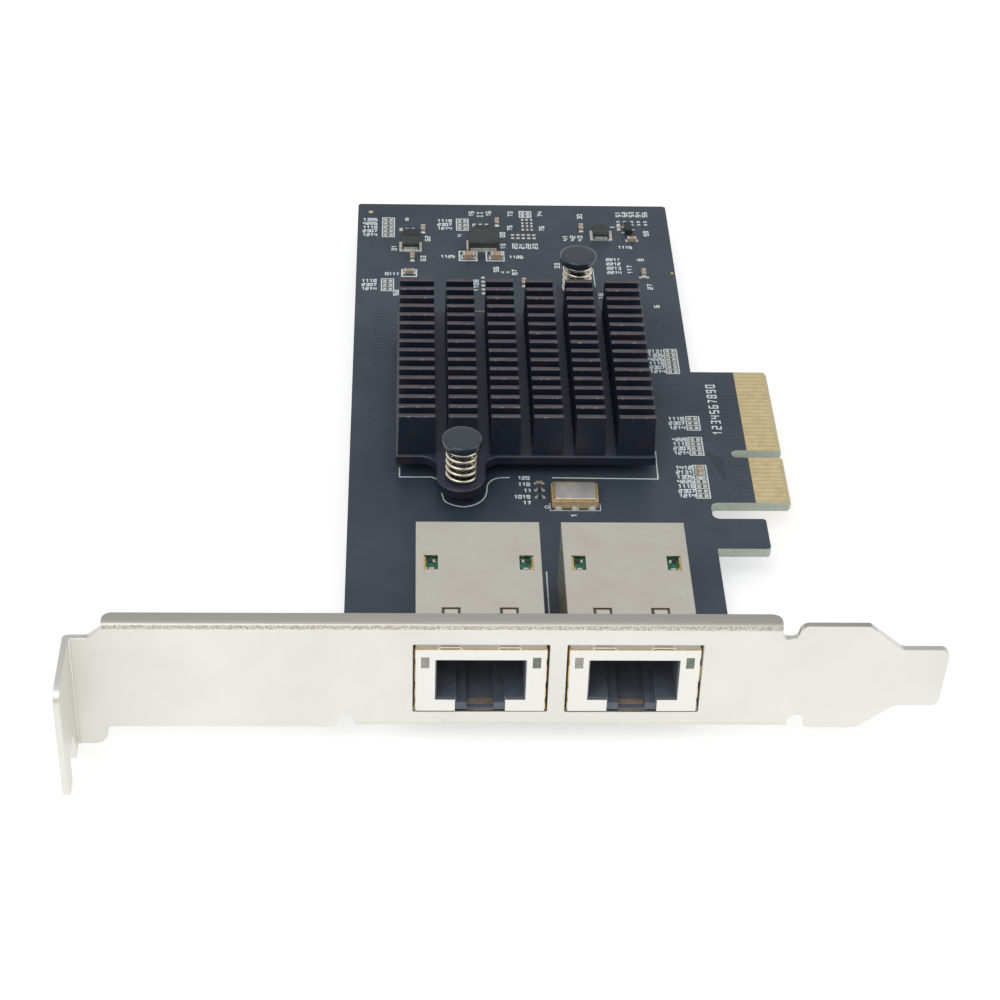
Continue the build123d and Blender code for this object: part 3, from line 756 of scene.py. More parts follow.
@dataclass(frozen=True)
class PlatedSheet(Finish):
    """Plated sheet metal: satin, faintly mottled, with a grainy surface."""

    bright: Colour = (0.85, 0.845, 0.785)
    dull: Colour = (0.785, 0.78, 0.73)
    roughness: float = 0.30
    grain: float = 0.35
    blotch: float = 9.0

    def paint(self, graph: Graph) -> None:
        """Mottle the plating and roughen it with fine grain."""
        blotches, grain = graph.noise(self.blotch, 4.0), graph.noise(self.grain)
        spots = graph.specks(2.4, 0.09, 0.25)
        plating = graph.mix(blotches.between(0.3, 0.75), self.bright, self.dull)
        colour = graph.mix(spots * 0.35, plating, tuple(c * 0.6 for c in self.dull))
        graph.surface(colour, self.roughness + grain * 0.16 + blotches * 0.05 + spots * 0.2,
                      1.0, graph.bump(grain, 0.22, 0.03))


@dataclass(frozen=True)
class FoldedSheet(PlatedSheet):
    """The bracket's sheet: darker on its lip's top as painted shade, and sandy where the folding
    stretched it.
    """

    # The lip's upward faces are darkened with this colour as painted shade
    lip: Colour = (0.56, 0.55, 0.51)
    sand: Colour = (0.88, 0.84, 0.73)
    sand_dark: Colour = (0.38, 0.31, 0.21)
    fold: float = 0.8

    def paint(self, graph: Graph) -> None:
        """Mix sheet, the lip's painted shade and the fold by facing."""
        _, along, height = graph.axes(graph.place)
        _, ahead, up = graph.facing()
        blotches, grain = graph.noise(self.blotch), graph.noise(self.grain)
        sheet = graph.mix(blotches.between(0.3, 0.75), self.bright, self.dull)
        at_fold = height.over((BRACKET_WIDTH - self.fold + FRAME_HEIGHT) * MM)
        # Painted shade: the lip's upward faces take the darker lip colour
        lip = graph.mix(up.between(0.55, 0.95) * at_fold, sheet, self.lip)
        folded = (at_fold * along.under((self.fold + FRAME_ALONG) * MM)
                  * ahead.under(-0.3) * up.between(0.02, 0.12) * (1 - up.between(0.58, 0.74)))
        specks = graph.noise(0.26, 4.0).between(0.40, 0.62)
        sand = graph.mix(specks, self.sand_dark, self.sand)
        graph.surface(graph.mix(folded * 0.7, lip, sand),
                      self.roughness + grain * 0.14 + folded * 0.2, 1.0,
                      graph.bump(grain + specks * folded * 0.8, 0.22, 0.03))


@dataclass(frozen=True)
class ShieldSheet(PlatedSheet):
    """The ports' sheet: warm grey with painted light on its front faces, and brassy cut edges
    round its windows and slots.
    """

    brass: Colour = (0.72, 0.50, 0.20)
    # Front-facing faces are lightened with this colour as painted light
    front: Colour = (0.90, 0.885, 0.84)
    front_depth: float = 1.0
    edge_depth: float = 0.31

    def paint(self, graph: Graph) -> None:
        """Paint light on the front faces, and show the base metal on the cut edges of the windows
        and the slots.
        """
        _, along, height = graph.axes(graph.place)
        _, ahead, up = graph.facing()
        blotches, grain = graph.noise(self.blotch, 4.0), graph.noise(self.grain)
        sheet = graph.mix(blotches.between(0.3, 0.75), self.bright, self.dull)
        # Painted light: faces that look forward take the lighter front colour
        sheet = graph.mix(ahead.under(-0.7), sheet, self.front)
        near_top = height.over((PORT_TOP - self.edge_depth + FRAME_HEIGHT) * MM)
        behind = (along.over((self.front_depth + FRAME_ALONG) * MM)
                  * along.under((WINDOW_END + FRAME_ALONG) * MM))
        cut = near_top * behind * abs(up).under(0.5)
        stain = graph.noise(1.4).between(0.62, 0.72) * 0.3
        colour = graph.mix(cut.either(stain * (1 - cut) * 0.35), sheet, self.brass)
        graph.surface(colour, self.roughness + grain * 0.12 + blotches * 0.06, 1.0,
                      graph.bump(grain, 0.15, 0.02))


@dataclass(frozen=True)
class Plating(Finish):
    """Thin gold or tin plating, with faint wear."""

    bright: Colour = (0.95, 0.77, 0.46)
    worn: Colour = (0.82, 0.64, 0.36)
    roughness: float = 0.30
    metallic: float = 0.65
    wear: float = 1.2

    def paint(self, graph: Graph) -> None:
        """Vary the plating and scratch it lightly along its length."""
        wear = graph.noise(self.wear, 4.0)
        lines = graph.noise(0.25, 2.0, (0.15, 1.0, 1.0))
        graph.surface(graph.mix(wear.between(0.35, 0.7), self.bright, self.worn),
                      self.roughness + lines * 0.14 + wear * 0.08, self.metallic,
                      graph.bump(lines, 0.12, 0.01))


@dataclass(frozen=True)
class Moulded(Finish):
    """Moulded plastic or powder body, with a fine even texture."""

    colour: Colour
    second: Colour
    roughness: float = 0.45
    texture: float = 0.22
    depth: float = 0.015
    coat: float = 0.0

    def paint(self, graph: Graph) -> None:
        """Mix two close shades and texture the surface."""
        shade, texture = graph.noise(2.6, 4.0), graph.noise(self.texture, 2.0)
        graph.surface(graph.mix(shade.between(0.35, 0.7), self.colour, self.second),
                      self.roughness + texture * 0.12, 0.0,
                      graph.bump(texture, 0.35, self.depth), self.coat)


@dataclass(frozen=True)
class Anodised(Finish):
    """Black anodised pins: purple-brown sawn tops, with painted highlights along their front top
    edges.
    """

    flank: Colour = (0.012, 0.020, 0.040)
    flank_warm: Colour = (0.032, 0.023, 0.028)
    floor: Colour = (0.032, 0.039, 0.068)
    top: Colour = (0.100, 0.082, 0.098)
    top_dark: Colour = (0.054, 0.044, 0.056)
    # Pale colour of the painted highlights on the pins' front top edges, and of the light dust
    # specks
    glint_and_dust: Colour = (0.50, 0.46, 0.46)
    first_front: float = 55.4
    glint_depth: float = 0.18

    def paint(self, graph: Graph) -> None:
        """Colour tops and flanks by height and facing, and paint highlights along the pins' front
        top edges.
        """
        _, along, height = graph.axes(graph.place)
        _, _, up = graph.facing()
        streaks = graph.noise(0.5, 4.0, (0.18, 1.0, 1.0))
        clouds = graph.noise(3.4, 4.0)
        flank = graph.mix(clouds.between(0.45, 0.75), self.flank, self.flank_warm)
        sawn = graph.mix(streaks.between(0.3, 0.7), self.top_dark, self.top)
        level = up.between(0.5, 0.9)
        base = level * height.under((BASE_TOP + 0.3 + FRAME_HEIGHT) * MM)
        # Painted highlights: a broken pale line along the front top edge of every pin, mixed with
        # light dust specks
        row = (along - (self.first_front + FRAME_ALONG) * MM) % (FIN_PITCH * MM)
        front = row.under(0.10 * MM).either(row.over((FIN_PITCH - 0.16) * MM))
        at_top = height.over((BASE_TOP + FIN_HEIGHT - self.glint_depth + FRAME_HEIGHT) * MM)
        glint_breaks = graph.noise(0.5, 4.0, (1.0, 0.2, 0.2)).between(0.56, 0.68)
        painted_glints = front * at_top * (glint_breaks * 0.5 + 0.16)
        dust = graph.specks(2.2, 0.06, 0.16)
        colour = graph.mix(base, graph.mix(level, flank, sawn), self.floor)
        colour = graph.mix(painted_glints.either(dust * 0.35), colour, self.glint_and_dust)
        graph.surface(colour, 0.32 + streaks * 0.14, 0.0,
                      graph.bump(streaks * level * (1 - base) + clouds * 0.4, 0.25, 0.02))


@dataclass(frozen=True)
class Print(Finish):
    """White printed ink, slightly worn and patchy."""

    ink: Colour = (0.88, 0.96, 0.98)
    thin: Colour = (0.66, 0.74, 0.78)

    def paint(self, graph: Graph) -> None:
        """Thin the ink in places."""
        patches = graph.noise(0.55)
        graph.surface(graph.mix(patches.between(0.45, 0.75), self.ink, self.thin),
                      0.5 + patches * 0.15)


@dataclass(frozen=True)
class Ceramic(Finish):
    """Fired ceramic or milky plastic with a speckled body."""

    colour: Colour
    fleck: Colour
    roughness: float = 0.38

    def paint(self, graph: Graph) -> None:
        """Fleck the body."""
        flecks = graph.noise(0.3)
        graph.surface(graph.mix(flecks.between(0.4, 0.65), self.colour, self.fleck),
                      self.roughness + flecks * 0.15, 0.0, graph.bump(flecks, 0.2, 0.01))


@dataclass(frozen=True)
class PortLaminate(Finish):
    """The green board inside a port, with pale tracks."""

    green: Colour = (0.008, 0.110, 0.062)
    track: Colour = (0.020, 0.210, 0.120)
    steps: Point = (1.27, 1.6)

    def paint(self, graph: Graph) -> None:
        """Lay pale tracks over the green."""
        across, along, _ = graph.axes(graph.place)
        lines = ((across * (2 * math.pi / (self.steps[0] * MM))).sine()
                 * (along * (2 * math.pi / (self.steps[1] * MM))).sine())
        graph.surface(graph.mix(lines.between(0.3, 0.6), self.green, self.track),
                      0.3 + graph.noise(1.0) * 0.15)


# Every finish of the card, by the name that the sub-assemblies use
FINISHES: dict[str, Finish] = {
    "mask": SolderMask("solder_mask"),
    "track": Moulded("masked_track", (0.050, 0.062, 0.078), (0.062, 0.075, 0.092), 0.36),
    "gold": Plating("gold_plating"),
    "tin": Plating("tin_plating", (0.86, 0.84, 0.78), (0.66, 0.64, 0.58), 0.34, 0.85, 0.6),
    "brass": Plating("brass_edge", (0.92, 0.66, 0.28), (0.70, 0.46, 0.18), 0.28, 0.9, 0.8),
    "land": Plating("levelled_tin", (0.84, 0.83, 0.78), (0.62, 0.61, 0.57), 0.38, 0.35, 0.5),
    "bracket": FoldedSheet("bracket_plating", blotch=14.0),
    "screw": PlatedSheet("screw_plating", (0.70, 0.70, 0.69), (0.55, 0.55, 0.54), 0.28),
    "shield": ShieldSheet("shield_sheet", (0.83, 0.80, 0.725), (0.77, 0.73, 0.655), 0.33,
                          0.3, 7.0),
    "insert": Moulded("insert_plastic", (0.115, 0.138, 0.170), (0.150, 0.175, 0.210), 0.38),
    "latch": Plating("latch_floor", (0.46, 0.36, 0.28), (0.30, 0.23, 0.18), 0.4, 0.3, 1.4),
    "link_lens": Ceramic("link_lens", (0.56, 0.54, 0.50), (0.42, 0.40, 0.37), 0.3),
    "activity_lens": Ceramic("activity_lens", (0.26, 0.30, 0.23), (0.15, 0.22, 0.15), 0.3),
    "port_board": PortLaminate("port_laminate"),
    "fins": Anodised("black_anodised"),
    "nylon": Moulded("pin_nylon", (0.020, 0.032, 0.048), (0.025, 0.038, 0.055), 0.10, 0.8,
                     0.003, 0.6),
    "spring": Plating("spring_plating", (0.99, 0.93, 0.80), (0.92, 0.82, 0.64), 0.12, 1.0,
                      0.8),
    "package": Moulded("package_laminate", (0.012, 0.040, 0.026), (0.018, 0.052, 0.034)),
    "silicon": Moulded("die_silicon", (0.05, 0.05, 0.055), (0.06, 0.06, 0.066), 0.12),
    "pad": Moulded("thermal_pad", (0.28, 0.28, 0.29), (0.34, 0.34, 0.35), 0.8, 0.4),
    "cup": Ceramic("oscillator_cup", (0.74, 0.55, 0.32), (0.56, 0.38, 0.20), 0.4),
    "lid": PlatedSheet("oscillator_lid", (0.92, 0.90, 0.85), (0.78, 0.76, 0.70), 0.36, 0.3,
                       1.6),
    "ferrite": Moulded("inductor_powder", (0.050, 0.054, 0.054), (0.075, 0.080, 0.078), 0.62,
                       0.16, 0.03),
    "chip": Moulded("chip_body", (0.026, 0.029, 0.033), (0.036, 0.040, 0.045), 0.48),
    "capacitor": Ceramic("capacitor_body", (0.56, 0.40, 0.27), (0.44, 0.30, 0.19), 0.42),
    "resistor": Ceramic("resistor_body", (0.035, 0.036, 0.042), (0.055, 0.055, 0.06), 0.3),
    "ink": Print("white_print"),
}


@dataclass
class Placed:
    """Copies of one small shape at many places, grown by a Geometry Nodes tree."""

    name: str
    places: list[Place] = field(default_factory=list)
    sizes: list[Place] = field(default_factory=list)
    turns: list[float] = field(default_factory=list)

    def add(self, place: Place, size: Place, turn: float = 0.0) -> None:
        """Add one copy.

        Args:
            place: Across, along and height of the middle of its base.
            size: Its three sizes before it is turned, in millimetres.
            turn: How far it is turned from above, in radians.
        """
        self.places.append(place)
        self.sizes.append(size)
        self.turns.append(turn)

    @staticmethod
    def tree() -> GrowingTree:
        """Build the tree that copies a unit shape to every point, with its size and turn.

        Returns:
            The tree.
        """
        grown = GrowingTree("copy_shape_to_places", Shape="Object")
        size, turn = (grown.node("GeometryNodeInputNamedAttribute", {"data_type": kind},
                                 {"Name": name}).outputs["Attribute"]
                      for kind, name in (("FLOAT_VECTOR", "size"), ("FLOAT", "turn")))
        turned = grown.node("ShaderNodeCombineXYZ", inputs={"Z": turn})
        grown.end(grown.copies(grown.given("Geometry"), grown.given("Shape"),
                               Rotation=turned.outputs[0], Scale=size), smooth=False)
        return grown


@dataclass
class Assembly:
    """What every sub-assembly has: the frame's nodes, the materials and the copying tree."""

    nodes: dict[str, Piece]
    looks: dict[str, bpy.types.Material]
    copying: GrowingTree

    def dress(self, look: str, *names: str) -> None:
        """Give nodes of the solid model a material.

        Args:
            look: The material's name among the finishes.
            *names: The nodes.
        """
        for name in names:
            slots = self.nodes[name].data.materials
            if len(slots) == 0:
                slots.append(self.looks[look])
            for i in range(len(slots)):
                slots[i] = self.looks[look]

    def keep(self, shape: Shape, name: str, look: str, slot: str, *stands_for: str,
             smooth: float = 0.0) -> None:
        """Finish a shape, smooth up to an angle in degrees, and hand it to the frame."""
        settle(shape.finish(name, self.looks[look], smooth), slot, *stands_for)

    def keep_copies(self, placed: Placed, shape: Piece, look: str, slot: str,
                    *stands_for: str) -> None:
        """Grow copies of a hidden shape and hand them to the frame.

        Args:
            placed: The places.
            shape: The shape to copy, one unit in size.
            look: The material's name among the finishes.
            slot: The record's material slot.
            *stands_for: The nodes of the solid model that they replace.
        """
        host = bpy.data.meshes.new(placed.name + "_places")
        host.from_pydata([spot(*place) for place in placed.places], [], [])
        sizes = host.attributes.new("size", "FLOAT_VECTOR", "POINT")
        sizes.data.foreach_set("vector", [side * MM for size in placed.sizes for side in size])
        turns = host.attributes.new("turn", "FLOAT", "POINT")
        turns.data.foreach_set("value", placed.turns)
        settle(self.copying.grow(placed.name, host,
                                 {"Finish": self.looks[look], "Shape": shape}),
               slot, *stands_for)


@dataclass
class Figures:
    """Plain figures drawn with single strokes, as a board printer draws them."""

    width: float = 0.42
    height: float = 0.78
    stroke: float = 0.21
    gap: float = 0.24

    STROKES = {
        "0": [[(0, 0), (1, 0), (1, 2), (0, 2), (0, 0)]],
        "1": [[(0.1, 1.5), (0.6, 2), (0.6, 0)]],
        "2": [[(0, 2), (1, 2), (1, 1), (0, 1), (0, 0), (1, 0)]],
        "3": [[(0, 2), (1, 2), (1, 0), (0, 0)], [(0.2, 1), (1, 1)]],
        "4": [[(0, 2), (0, 1), (1, 1)], [(1, 2), (1, 0)]],
        "5": [[(1, 2), (0, 2), (0, 1), (1, 1), (1, 0), (0, 0)]],
        "6": [[(1, 2), (0, 2), (0, 0), (1, 0), (1, 1), (0, 1)]],
        "7": [[(0, 2), (1, 2), (0.4, 0)]],
        "8": [[(0, 1), (0, 0), (1, 0), (1, 2), (0, 2), (0, 1), (1, 1)]],
        "9": [[(1, 1), (0, 1), (0, 2), (1, 2), (1, 0), (0, 0)]],
    }

    def write(self, shape: Shape, text: str, middle: Point, turn: Turn,
              scale: float = 1.0) -> None:
        """Print a plain number on the board.

        Args:
            shape: The shape that takes the strokes.
            text: The figures.
            middle: The middle of the number.
            turn: Which way it runs.
            scale: How much larger or smaller than usual it is.
        """
        step = (self.width + self.gap) * scale
        start = -(len(text) - 1) * step / 2
        cos_turn, sin_turn = math.cos(turn.value), math.sin(turn.value)
        for place, figure in enumerate(text):
            for stroke in self.STROKES[figure]:
                path = []
                for x, y in stroke:
                    right = start + place * step + (x - 0.5) * self.width * scale
                    up = (y - 1.0) * self.height / 2 * scale
                    path.append((middle[0] + right * cos_turn - up * sin_turn,
                                 middle[1] + right * sin_turn + up * cos_turn))
                shape.ribbon(path, self.stroke * scale, PRINT_HEIGHT)


@dataclass
class Footprints:
    """A block of small footprints, one row of pads for each, with figures beside it."""

    left: float
    near: float
    rows: int
    pitch: float
    figures_left: float
    filled: int = 0
    reach: float = 1.75
    numbers: tuple[str, ...] = ("1214", "2307", "1118", "4226", "1305", "2131", "1412")

    def row(self, number: int) -> float:
        """Give how far along the middle of a row lies."""
        return self.near + (number + 0.5) * self.pitch


@dataclass
class Board(Assembly):
    """The circuit board with its lands, print, vias, tracks and solder joints."""

    land_height: float = 0.035
    land_spacing: float = 0.94
    via_size: float = 0.46
    track_width: float = 0.16
    track_height: float = 0.018
    print_line: float = 0.20
    fillet_width: float = 0.5
    fillet_height: float = 0.16
    pin_pitch: float = 2.04
    pin_rows: Point = (19.0, 21.54)
    post_along: float = 14.0
    post_inset: float = 0.15
    # Solder under the board: the sizes at each pin and at each post
    pin_joint: Place = (1.15, 1.15, 0.75)
    post_joint: Place = (1.5, 2.5, 0.75)
    # The bright solder round three power parts: left, near, right and far
    fillets: tuple[tuple[float, float, float, float], ...] = (
        (44.75, 119.9, 48.2, 122.7), (56.6, 120.5, 61.5, 123.4), (78.65, 124.1, 82.05, 127.0))
    blocks: tuple[Footprints, ...] = (
        Footprints(41.65, 124.6, 5, 1.29, 38.3),
        Footprints(54.85, 127.0, 3, 1.29, 51.6),
        Footprints(41.65, 107.0, 3, 1.27, 38.4),
        Footprints(88.9, 82.6, 6, 1.18, 86.3),
        Footprints(90.9, 66.8, 3, 1.23, 88.2),
        Footprints(90.85, 60.1, 4, 1.18, 88.4),
        Footprints(90.85, 49.0, 7, 1.2, 88.3, filled=2),
        Footprints(66.2, 131.6, 2, 1.05, 63.9, numbers=("", "")))
    # Further lands: their places across and along, then the sizes of each
    land_groups: tuple[tuple[tuple[float, ...], tuple[float, ...], Point], ...] = (
        ((66.5, 67.3, 68.1), (127.4, 128.6, 129.6, 130.8), (0.42, 0.62)),
        ((64.6, 65.55, 66.5, 67.45, 68.4), (124.5, 125.6), (0.6, 0.55)),
        ((58.6, 59.3), (131.9, 133.0), (0.5, 0.5)),
        ((59.05,), (106.4, 107.65, 108.9, 110.15, 111.4), (0.62, 0.62)),
        ((62.5, 63.4), (113.2,), (0.5, 0.55)),
        ((83.75, 84.97, 86.19, 87.41, 88.63), (129.4, 130.4), (0.62, 0.55)),
        ((86.5, 87.7), (111.9,), (0.55, 0.6)), ((86.5,), (117.6,), (0.55, 0.6)),
        ((46.3,), (112.9,), (0.55, 0.6)))
    # The bright solder under the leads of the power parts
    bright_leads: tuple[tuple[tuple[float, ...], tuple[float, ...]], ...] = (
        ((44.8, 45.85, 46.9), (127.1,)), ((57.85, 58.95, 60.05), (128.8,)),
        ((83.7,), (127.8, 129.0)))
    # Plated holes: across, along and scale
    holes: tuple[Place, ...] = ((39.35, 133.05, 1.9), (92.1, 113.3, 1.2), (58.3, 100.8, 0.6),
                                (57.7, 100.8, 0.6), (58.9, 100.8, 0.6))

    # Numbers that run along the board, then those that run across it
    labels: tuple[tuple[Turn, tuple[tuple[str, float, float], ...]], ...] = (
        (Turn.ALONG, (
            ("62", 49.5, 124.1), ("31", 43.6, 120.8), ("63", 48.7, 117.5), ("15", 57.4, 132.7),
            ("16", 60.5, 132.8), ("88", 62.8, 125.6), ("19", 62.8, 121.7), ("4", 55.2, 125.2),
            ("73", 64.4, 132.7), ("74", 69.8, 132.8), ("75", 64.2, 127.9), ("76", 69.9, 127.8),
            ("20", 64.9, 121.8), ("21", 66.1, 121.8), ("22", 67.3, 121.8), ("23", 68.5, 121.8),
            ("96", 61.4, 114.1), ("97", 64.6, 113.2), ("58", 44.0, 106.4), ("30", 76.9, 132.0),
            ("41", 74.0, 124.6), ("42", 75.3, 124.6), ("43", 76.6, 124.6), ("1", 82.7, 128.5),
            ("51", 83.9, 132.9), ("52", 85.1, 132.9), ("53", 86.3, 132.9), ("54", 87.5, 132.9),
            ("55", 88.7, 132.9), ("59", 88.5, 126.4), ("33", 72.1, 115.4), ("117", 84.8, 114.4),
            ("9", 87.0, 117.6), ("27", 87.9, 108.9), ("18", 79.2, 105.8), ("6", 88.6, 102.7),
            ("1", 71.5, 44.5), ("1109", 57.8, 108.9))),
        (Turn.ACROSS, (
            ("8", 45.8, 130.6), ("1125", 53.0, 118.2), ("1126", 65.0, 118.2),
            ("0111", 43.3, 112.4), ("1115", 84.4, 121.7), ("120", 64.1, 53.9),
            ("118", 64.1, 52.3), ("11", 64.6, 50.7), ("1019", 63.7, 49.1), ("17", 64.4, 47.6),
            ("2211", 82.0, 117.6), ("2212", 82.0, 116.2), ("2213", 82.0, 114.8),
            ("2214", 82.0, 113.4))))
    # Printed lines: the width as a share of the usual one, and the path. The first goes round
    # the front push pin and the second closes it on the right of the heatsink
    lines: tuple[tuple[float, tuple[Point, ...]], ...] = (
        (1.0, ((44.86, 56.5), (44.87, 54.02), (49.8, 54.02), (50.56, 53.6), (51.05, 52.7),
               (51.3, 50.5), (51.67, 48.25), (52.1, 47.6), (52.99, 47.0), (54.0, 46.62),
               (54.9, 46.55), (55.9, 46.8), (56.82, 47.35), (57.55, 48.1), (58.0, 48.95),
               (58.3, 50.2), (58.37, 51.5), (58.6, 52.5), (59.06, 53.2), (59.7, 53.7),
               (60.44, 53.96), (62.0, 53.98))),
        (1.0, ((68.5, 54.0), (85.02, 53.8), (85.15, 61.1))),
        (1.0, ((66.7, 21.0), (66.7, 31.0))),
        (0.7, ((73.2, 113.5), (73.6, 114.4), (78.3, 114.4), (78.5, 103.2))),
        (0.5, ((67.9, 47.6), (67.9, 45.7), (75.6, 45.7), (75.6, 47.6))))
    # Printed frames round three capacitors, and the ring beside the oscillator
    frames: tuple[tuple[float, float, float, float], ...] = (
        (55.05, 116.9, 58.1, 119.9), (59.8, 116.9, 62.85, 119.9), (45.0, 111.6, 47.5, 113.8))
    ring_place: Point = (67.43, 46.6)
    ring_radius: float = 0.32

    def build(self) -> None:
        """Dress the board and add everything that lies flat on it."""
        self.dress("mask", "circuit_board")
        self.dress("gold", "edge_contacts_top", "edge_contacts_bottom")
        self.build_lands()
        self.build_vias()
        self.build_tracks()
        self.build_print()
        self.build_joints()

    def build_lands(self) -> None:
        """Grow the tinned lands of the empty footprints, and the chips on the filled ones."""
        lands, fitted = Placed("board_lands"), Placed("board_fitted_chips")
        for rows in self.blocks:
            middle = rows.left + rows.reach / 2
            for row in range(rows.rows):
                for side in (-1, 1):
                    lands.add((middle + side * self.land_spacing / 2, rows.row(row), BOARD_TOP),
                              (0.62, 0.70, self.land_height))
                if rows.rows - row <= rows.filled:
                    fitted.add((middle, rows.row(row), BOARD_TOP + self.land_height),
                               (1.0, 0.52, 0.36))
        for across, along, size in self.land_groups:
            for place in itertools.product(across, along):
                lands.add((*place, BOARD_TOP), (*size, self.land_height))
        for across, along in self.bright_leads:
            for place in itertools.product(across, along):
                lands.add((*place, BOARD_TOP), (0.62, 1.0, self.land_height * 2))
        shape = block("land_shape", 0.1, 0.3)
        self.keep_copies(lands, shape, "land", "terminal_tin")
        self.keep_copies(fitted, shape, "capacitor", "capacitor_ceramic")
        solder = Shape()
        for left, near, right, far in self.fillets:
            solder.ribbon([(left, far), (left, near), (right, near), (right, far)],
                          self.fillet_width, self.fillet_height)
        self.keep(solder, "board_fillets", "land", "terminal_tin")

    def build_vias(self) -> None:
        """Grow the plated holes, and the vias that the mask covers."""
        masked = [(97.6 - (i % 2) * 0.9, 62.4 + i, 1.0) for i in range(20)]
        masked += [(97.6 - (i % 2) * 0.9, 50.4 + i, 1.0) for i in range(8)]
        masked += [(39.6 + (i * 7 % 5) * 0.9, 60.0 + i * 3.1, 0.8) for i in range(13)]
        masked += [(62.0 + i * 1.9, 43.2 + (i * 5 % 3) * 0.8, 0.8) for i in range(5)]
        masked += [(88.2 + (i * 3 % 4) * 0.9, 91.6 + i * 1.7, 0.8) for i in range(11)]
        masked += [(94.6 + (i * 5 % 3) * 1.1, 40.4 + (i * 7 % 4) * 0.9, 1.0) for i in range(4)]
        ring = template("via_shape", levelled(
            circle((0, 0), 0.5, 12), [(1.0, 0.0), (1.0, 1.0), (0.55, 1.0), (0.45, 0.15)]))
        for name, places, look, slot in (
                ("board_plated_holes", self.holes, "gold", "gold_contact"),
                ("board_vias", masked, "track", "solder_mask")):
            holes = Placed(name)
            for across, along, scale in places:
                size = self.via_size * scale
                holes.add((across, along, BOARD_TOP), (size, size, self.land_height))
            self.keep_copies(holes, ring, look, slot)

    def build_tracks(self) -> None:
        """Lay masked tracks from the edge connector and from the ports to the controller."""
        paths = []
        for i in range(20):
            start, end = 62.5 + i, 64.0 + i * 0.72
            turn = abs(end - start)
            paths.append([(99.6, start), (96.2, start), (96.2 - turn, end), (85.6, end)])
        for i in range(9):
            start, bend, turn = 50.5 + i, 97.9 - i * 0.25, 2.4 + i * 0.1
            paths.append([(99.6, start), (bend, start), (bend - turn, start + turn),
                          (bend - turn, 59.2 + i * 0.25)])
        for i in range(8):
            for left, shift in ((48.9, 9.2), (76.5, -2.2)):
                start, bend = left + i * 0.85 + (i // 2) * 0.25, 33.5 + i * 0.3
                paths.append([(start, 28.6), (start, bend), (start + shift, bend + abs(shift)),
                              (start + shift, 45.4)])
        for i in range(14):
            start = 88.6 + i * 0.95
            paths.append([(40.4, start), (42.6, start), (43.6, start - 1.0),
                          (44.9, start - 1.0)])
        tracks = Shape()
        for path in paths:
            tracks.ribbon(path, self.track_width, self.track_height)
        self.keep(tracks, "board_tracks", "track", "solder_mask")

    def build_print(self) -> None:
        """Print the outlines and the plain figures."""
        ink, line = Shape(), self.print_line
        for share, path in self.lines:
            ink.ribbon(path, line * share, PRINT_HEIGHT)
        for frame in self.frames:
            ink.ribbon(box(*frame), line * 1.3, PRINT_HEIGHT, closed=True)
        figures, wide_figures = Figures(), Figures(width=0.62, gap=0.36)
        for rows in self.blocks:
            left, right = rows.left - 0.16, rows.left + rows.reach + 0.16
            ink.ribbon(box(left, rows.near, right, rows.near + rows.rows * rows.pitch), line,
                       PRINT_HEIGHT, closed=True)
            for row in range(rows.rows):
                if row > 0:
                    edge = rows.near + row * rows.pitch
                    ink.ribbon([(left, edge), (right, edge)], line * 0.7, PRINT_HEIGHT)
                figures.write(ink, rows.numbers[row],
                              (rows.figures_left + 0.95, rows.row(row)), Turn.ACROSS)
        for turn, labels in self.labels:
            for text, across, along in labels:
                (wide_figures if turn is Turn.ALONG else figures).write(
                    ink, text, (across, along), turn, 0.97)
        Figures(width=0.40, gap=0.42, stroke=0.13).write(ink, "1234567890", (95.5, 72.5),
                                                         Turn.ALONG, 1.75)
        ink.ribbon(circle(self.ring_place, self.ring_radius, 10), line * 0.6, PRINT_HEIGHT,
                   closed=True)
        self.keep(ink, "board_print", "ink", "solder_mask")

    def build_joints(self) -> None:
        """Grow the solder cones under the board round the ports' pins and posts."""
        joints = Placed("board_solder_joints")
        for left in PORT_LEFTS.values():
            for row, along in enumerate(self.pin_rows):
                for column in range(6):
                    across = (left + PORT_WIDTH / 2 + (column - 2.5) * self.pin_pitch
                              + (row - 0.5) * self.pin_pitch / 2)
                    joints.add((across, along, BOARD_BOTTOM), self.pin_joint)
            for across in (left + self.post_inset, left + PORT_WIDTH - self.post_inset):
                joints.add((across, self.post_along, BOARD_BOTTOM), self.post_joint)
        cone = template("joint_shape", levelled(
            circle((0, 0), 0.5, 12), [(0.45, -1.0), (0.62, -0.55), (0.86, -0.15), (1.0, 0.0)]))
        self.keep_copies(joints, cone, "tin", "terminal_tin")


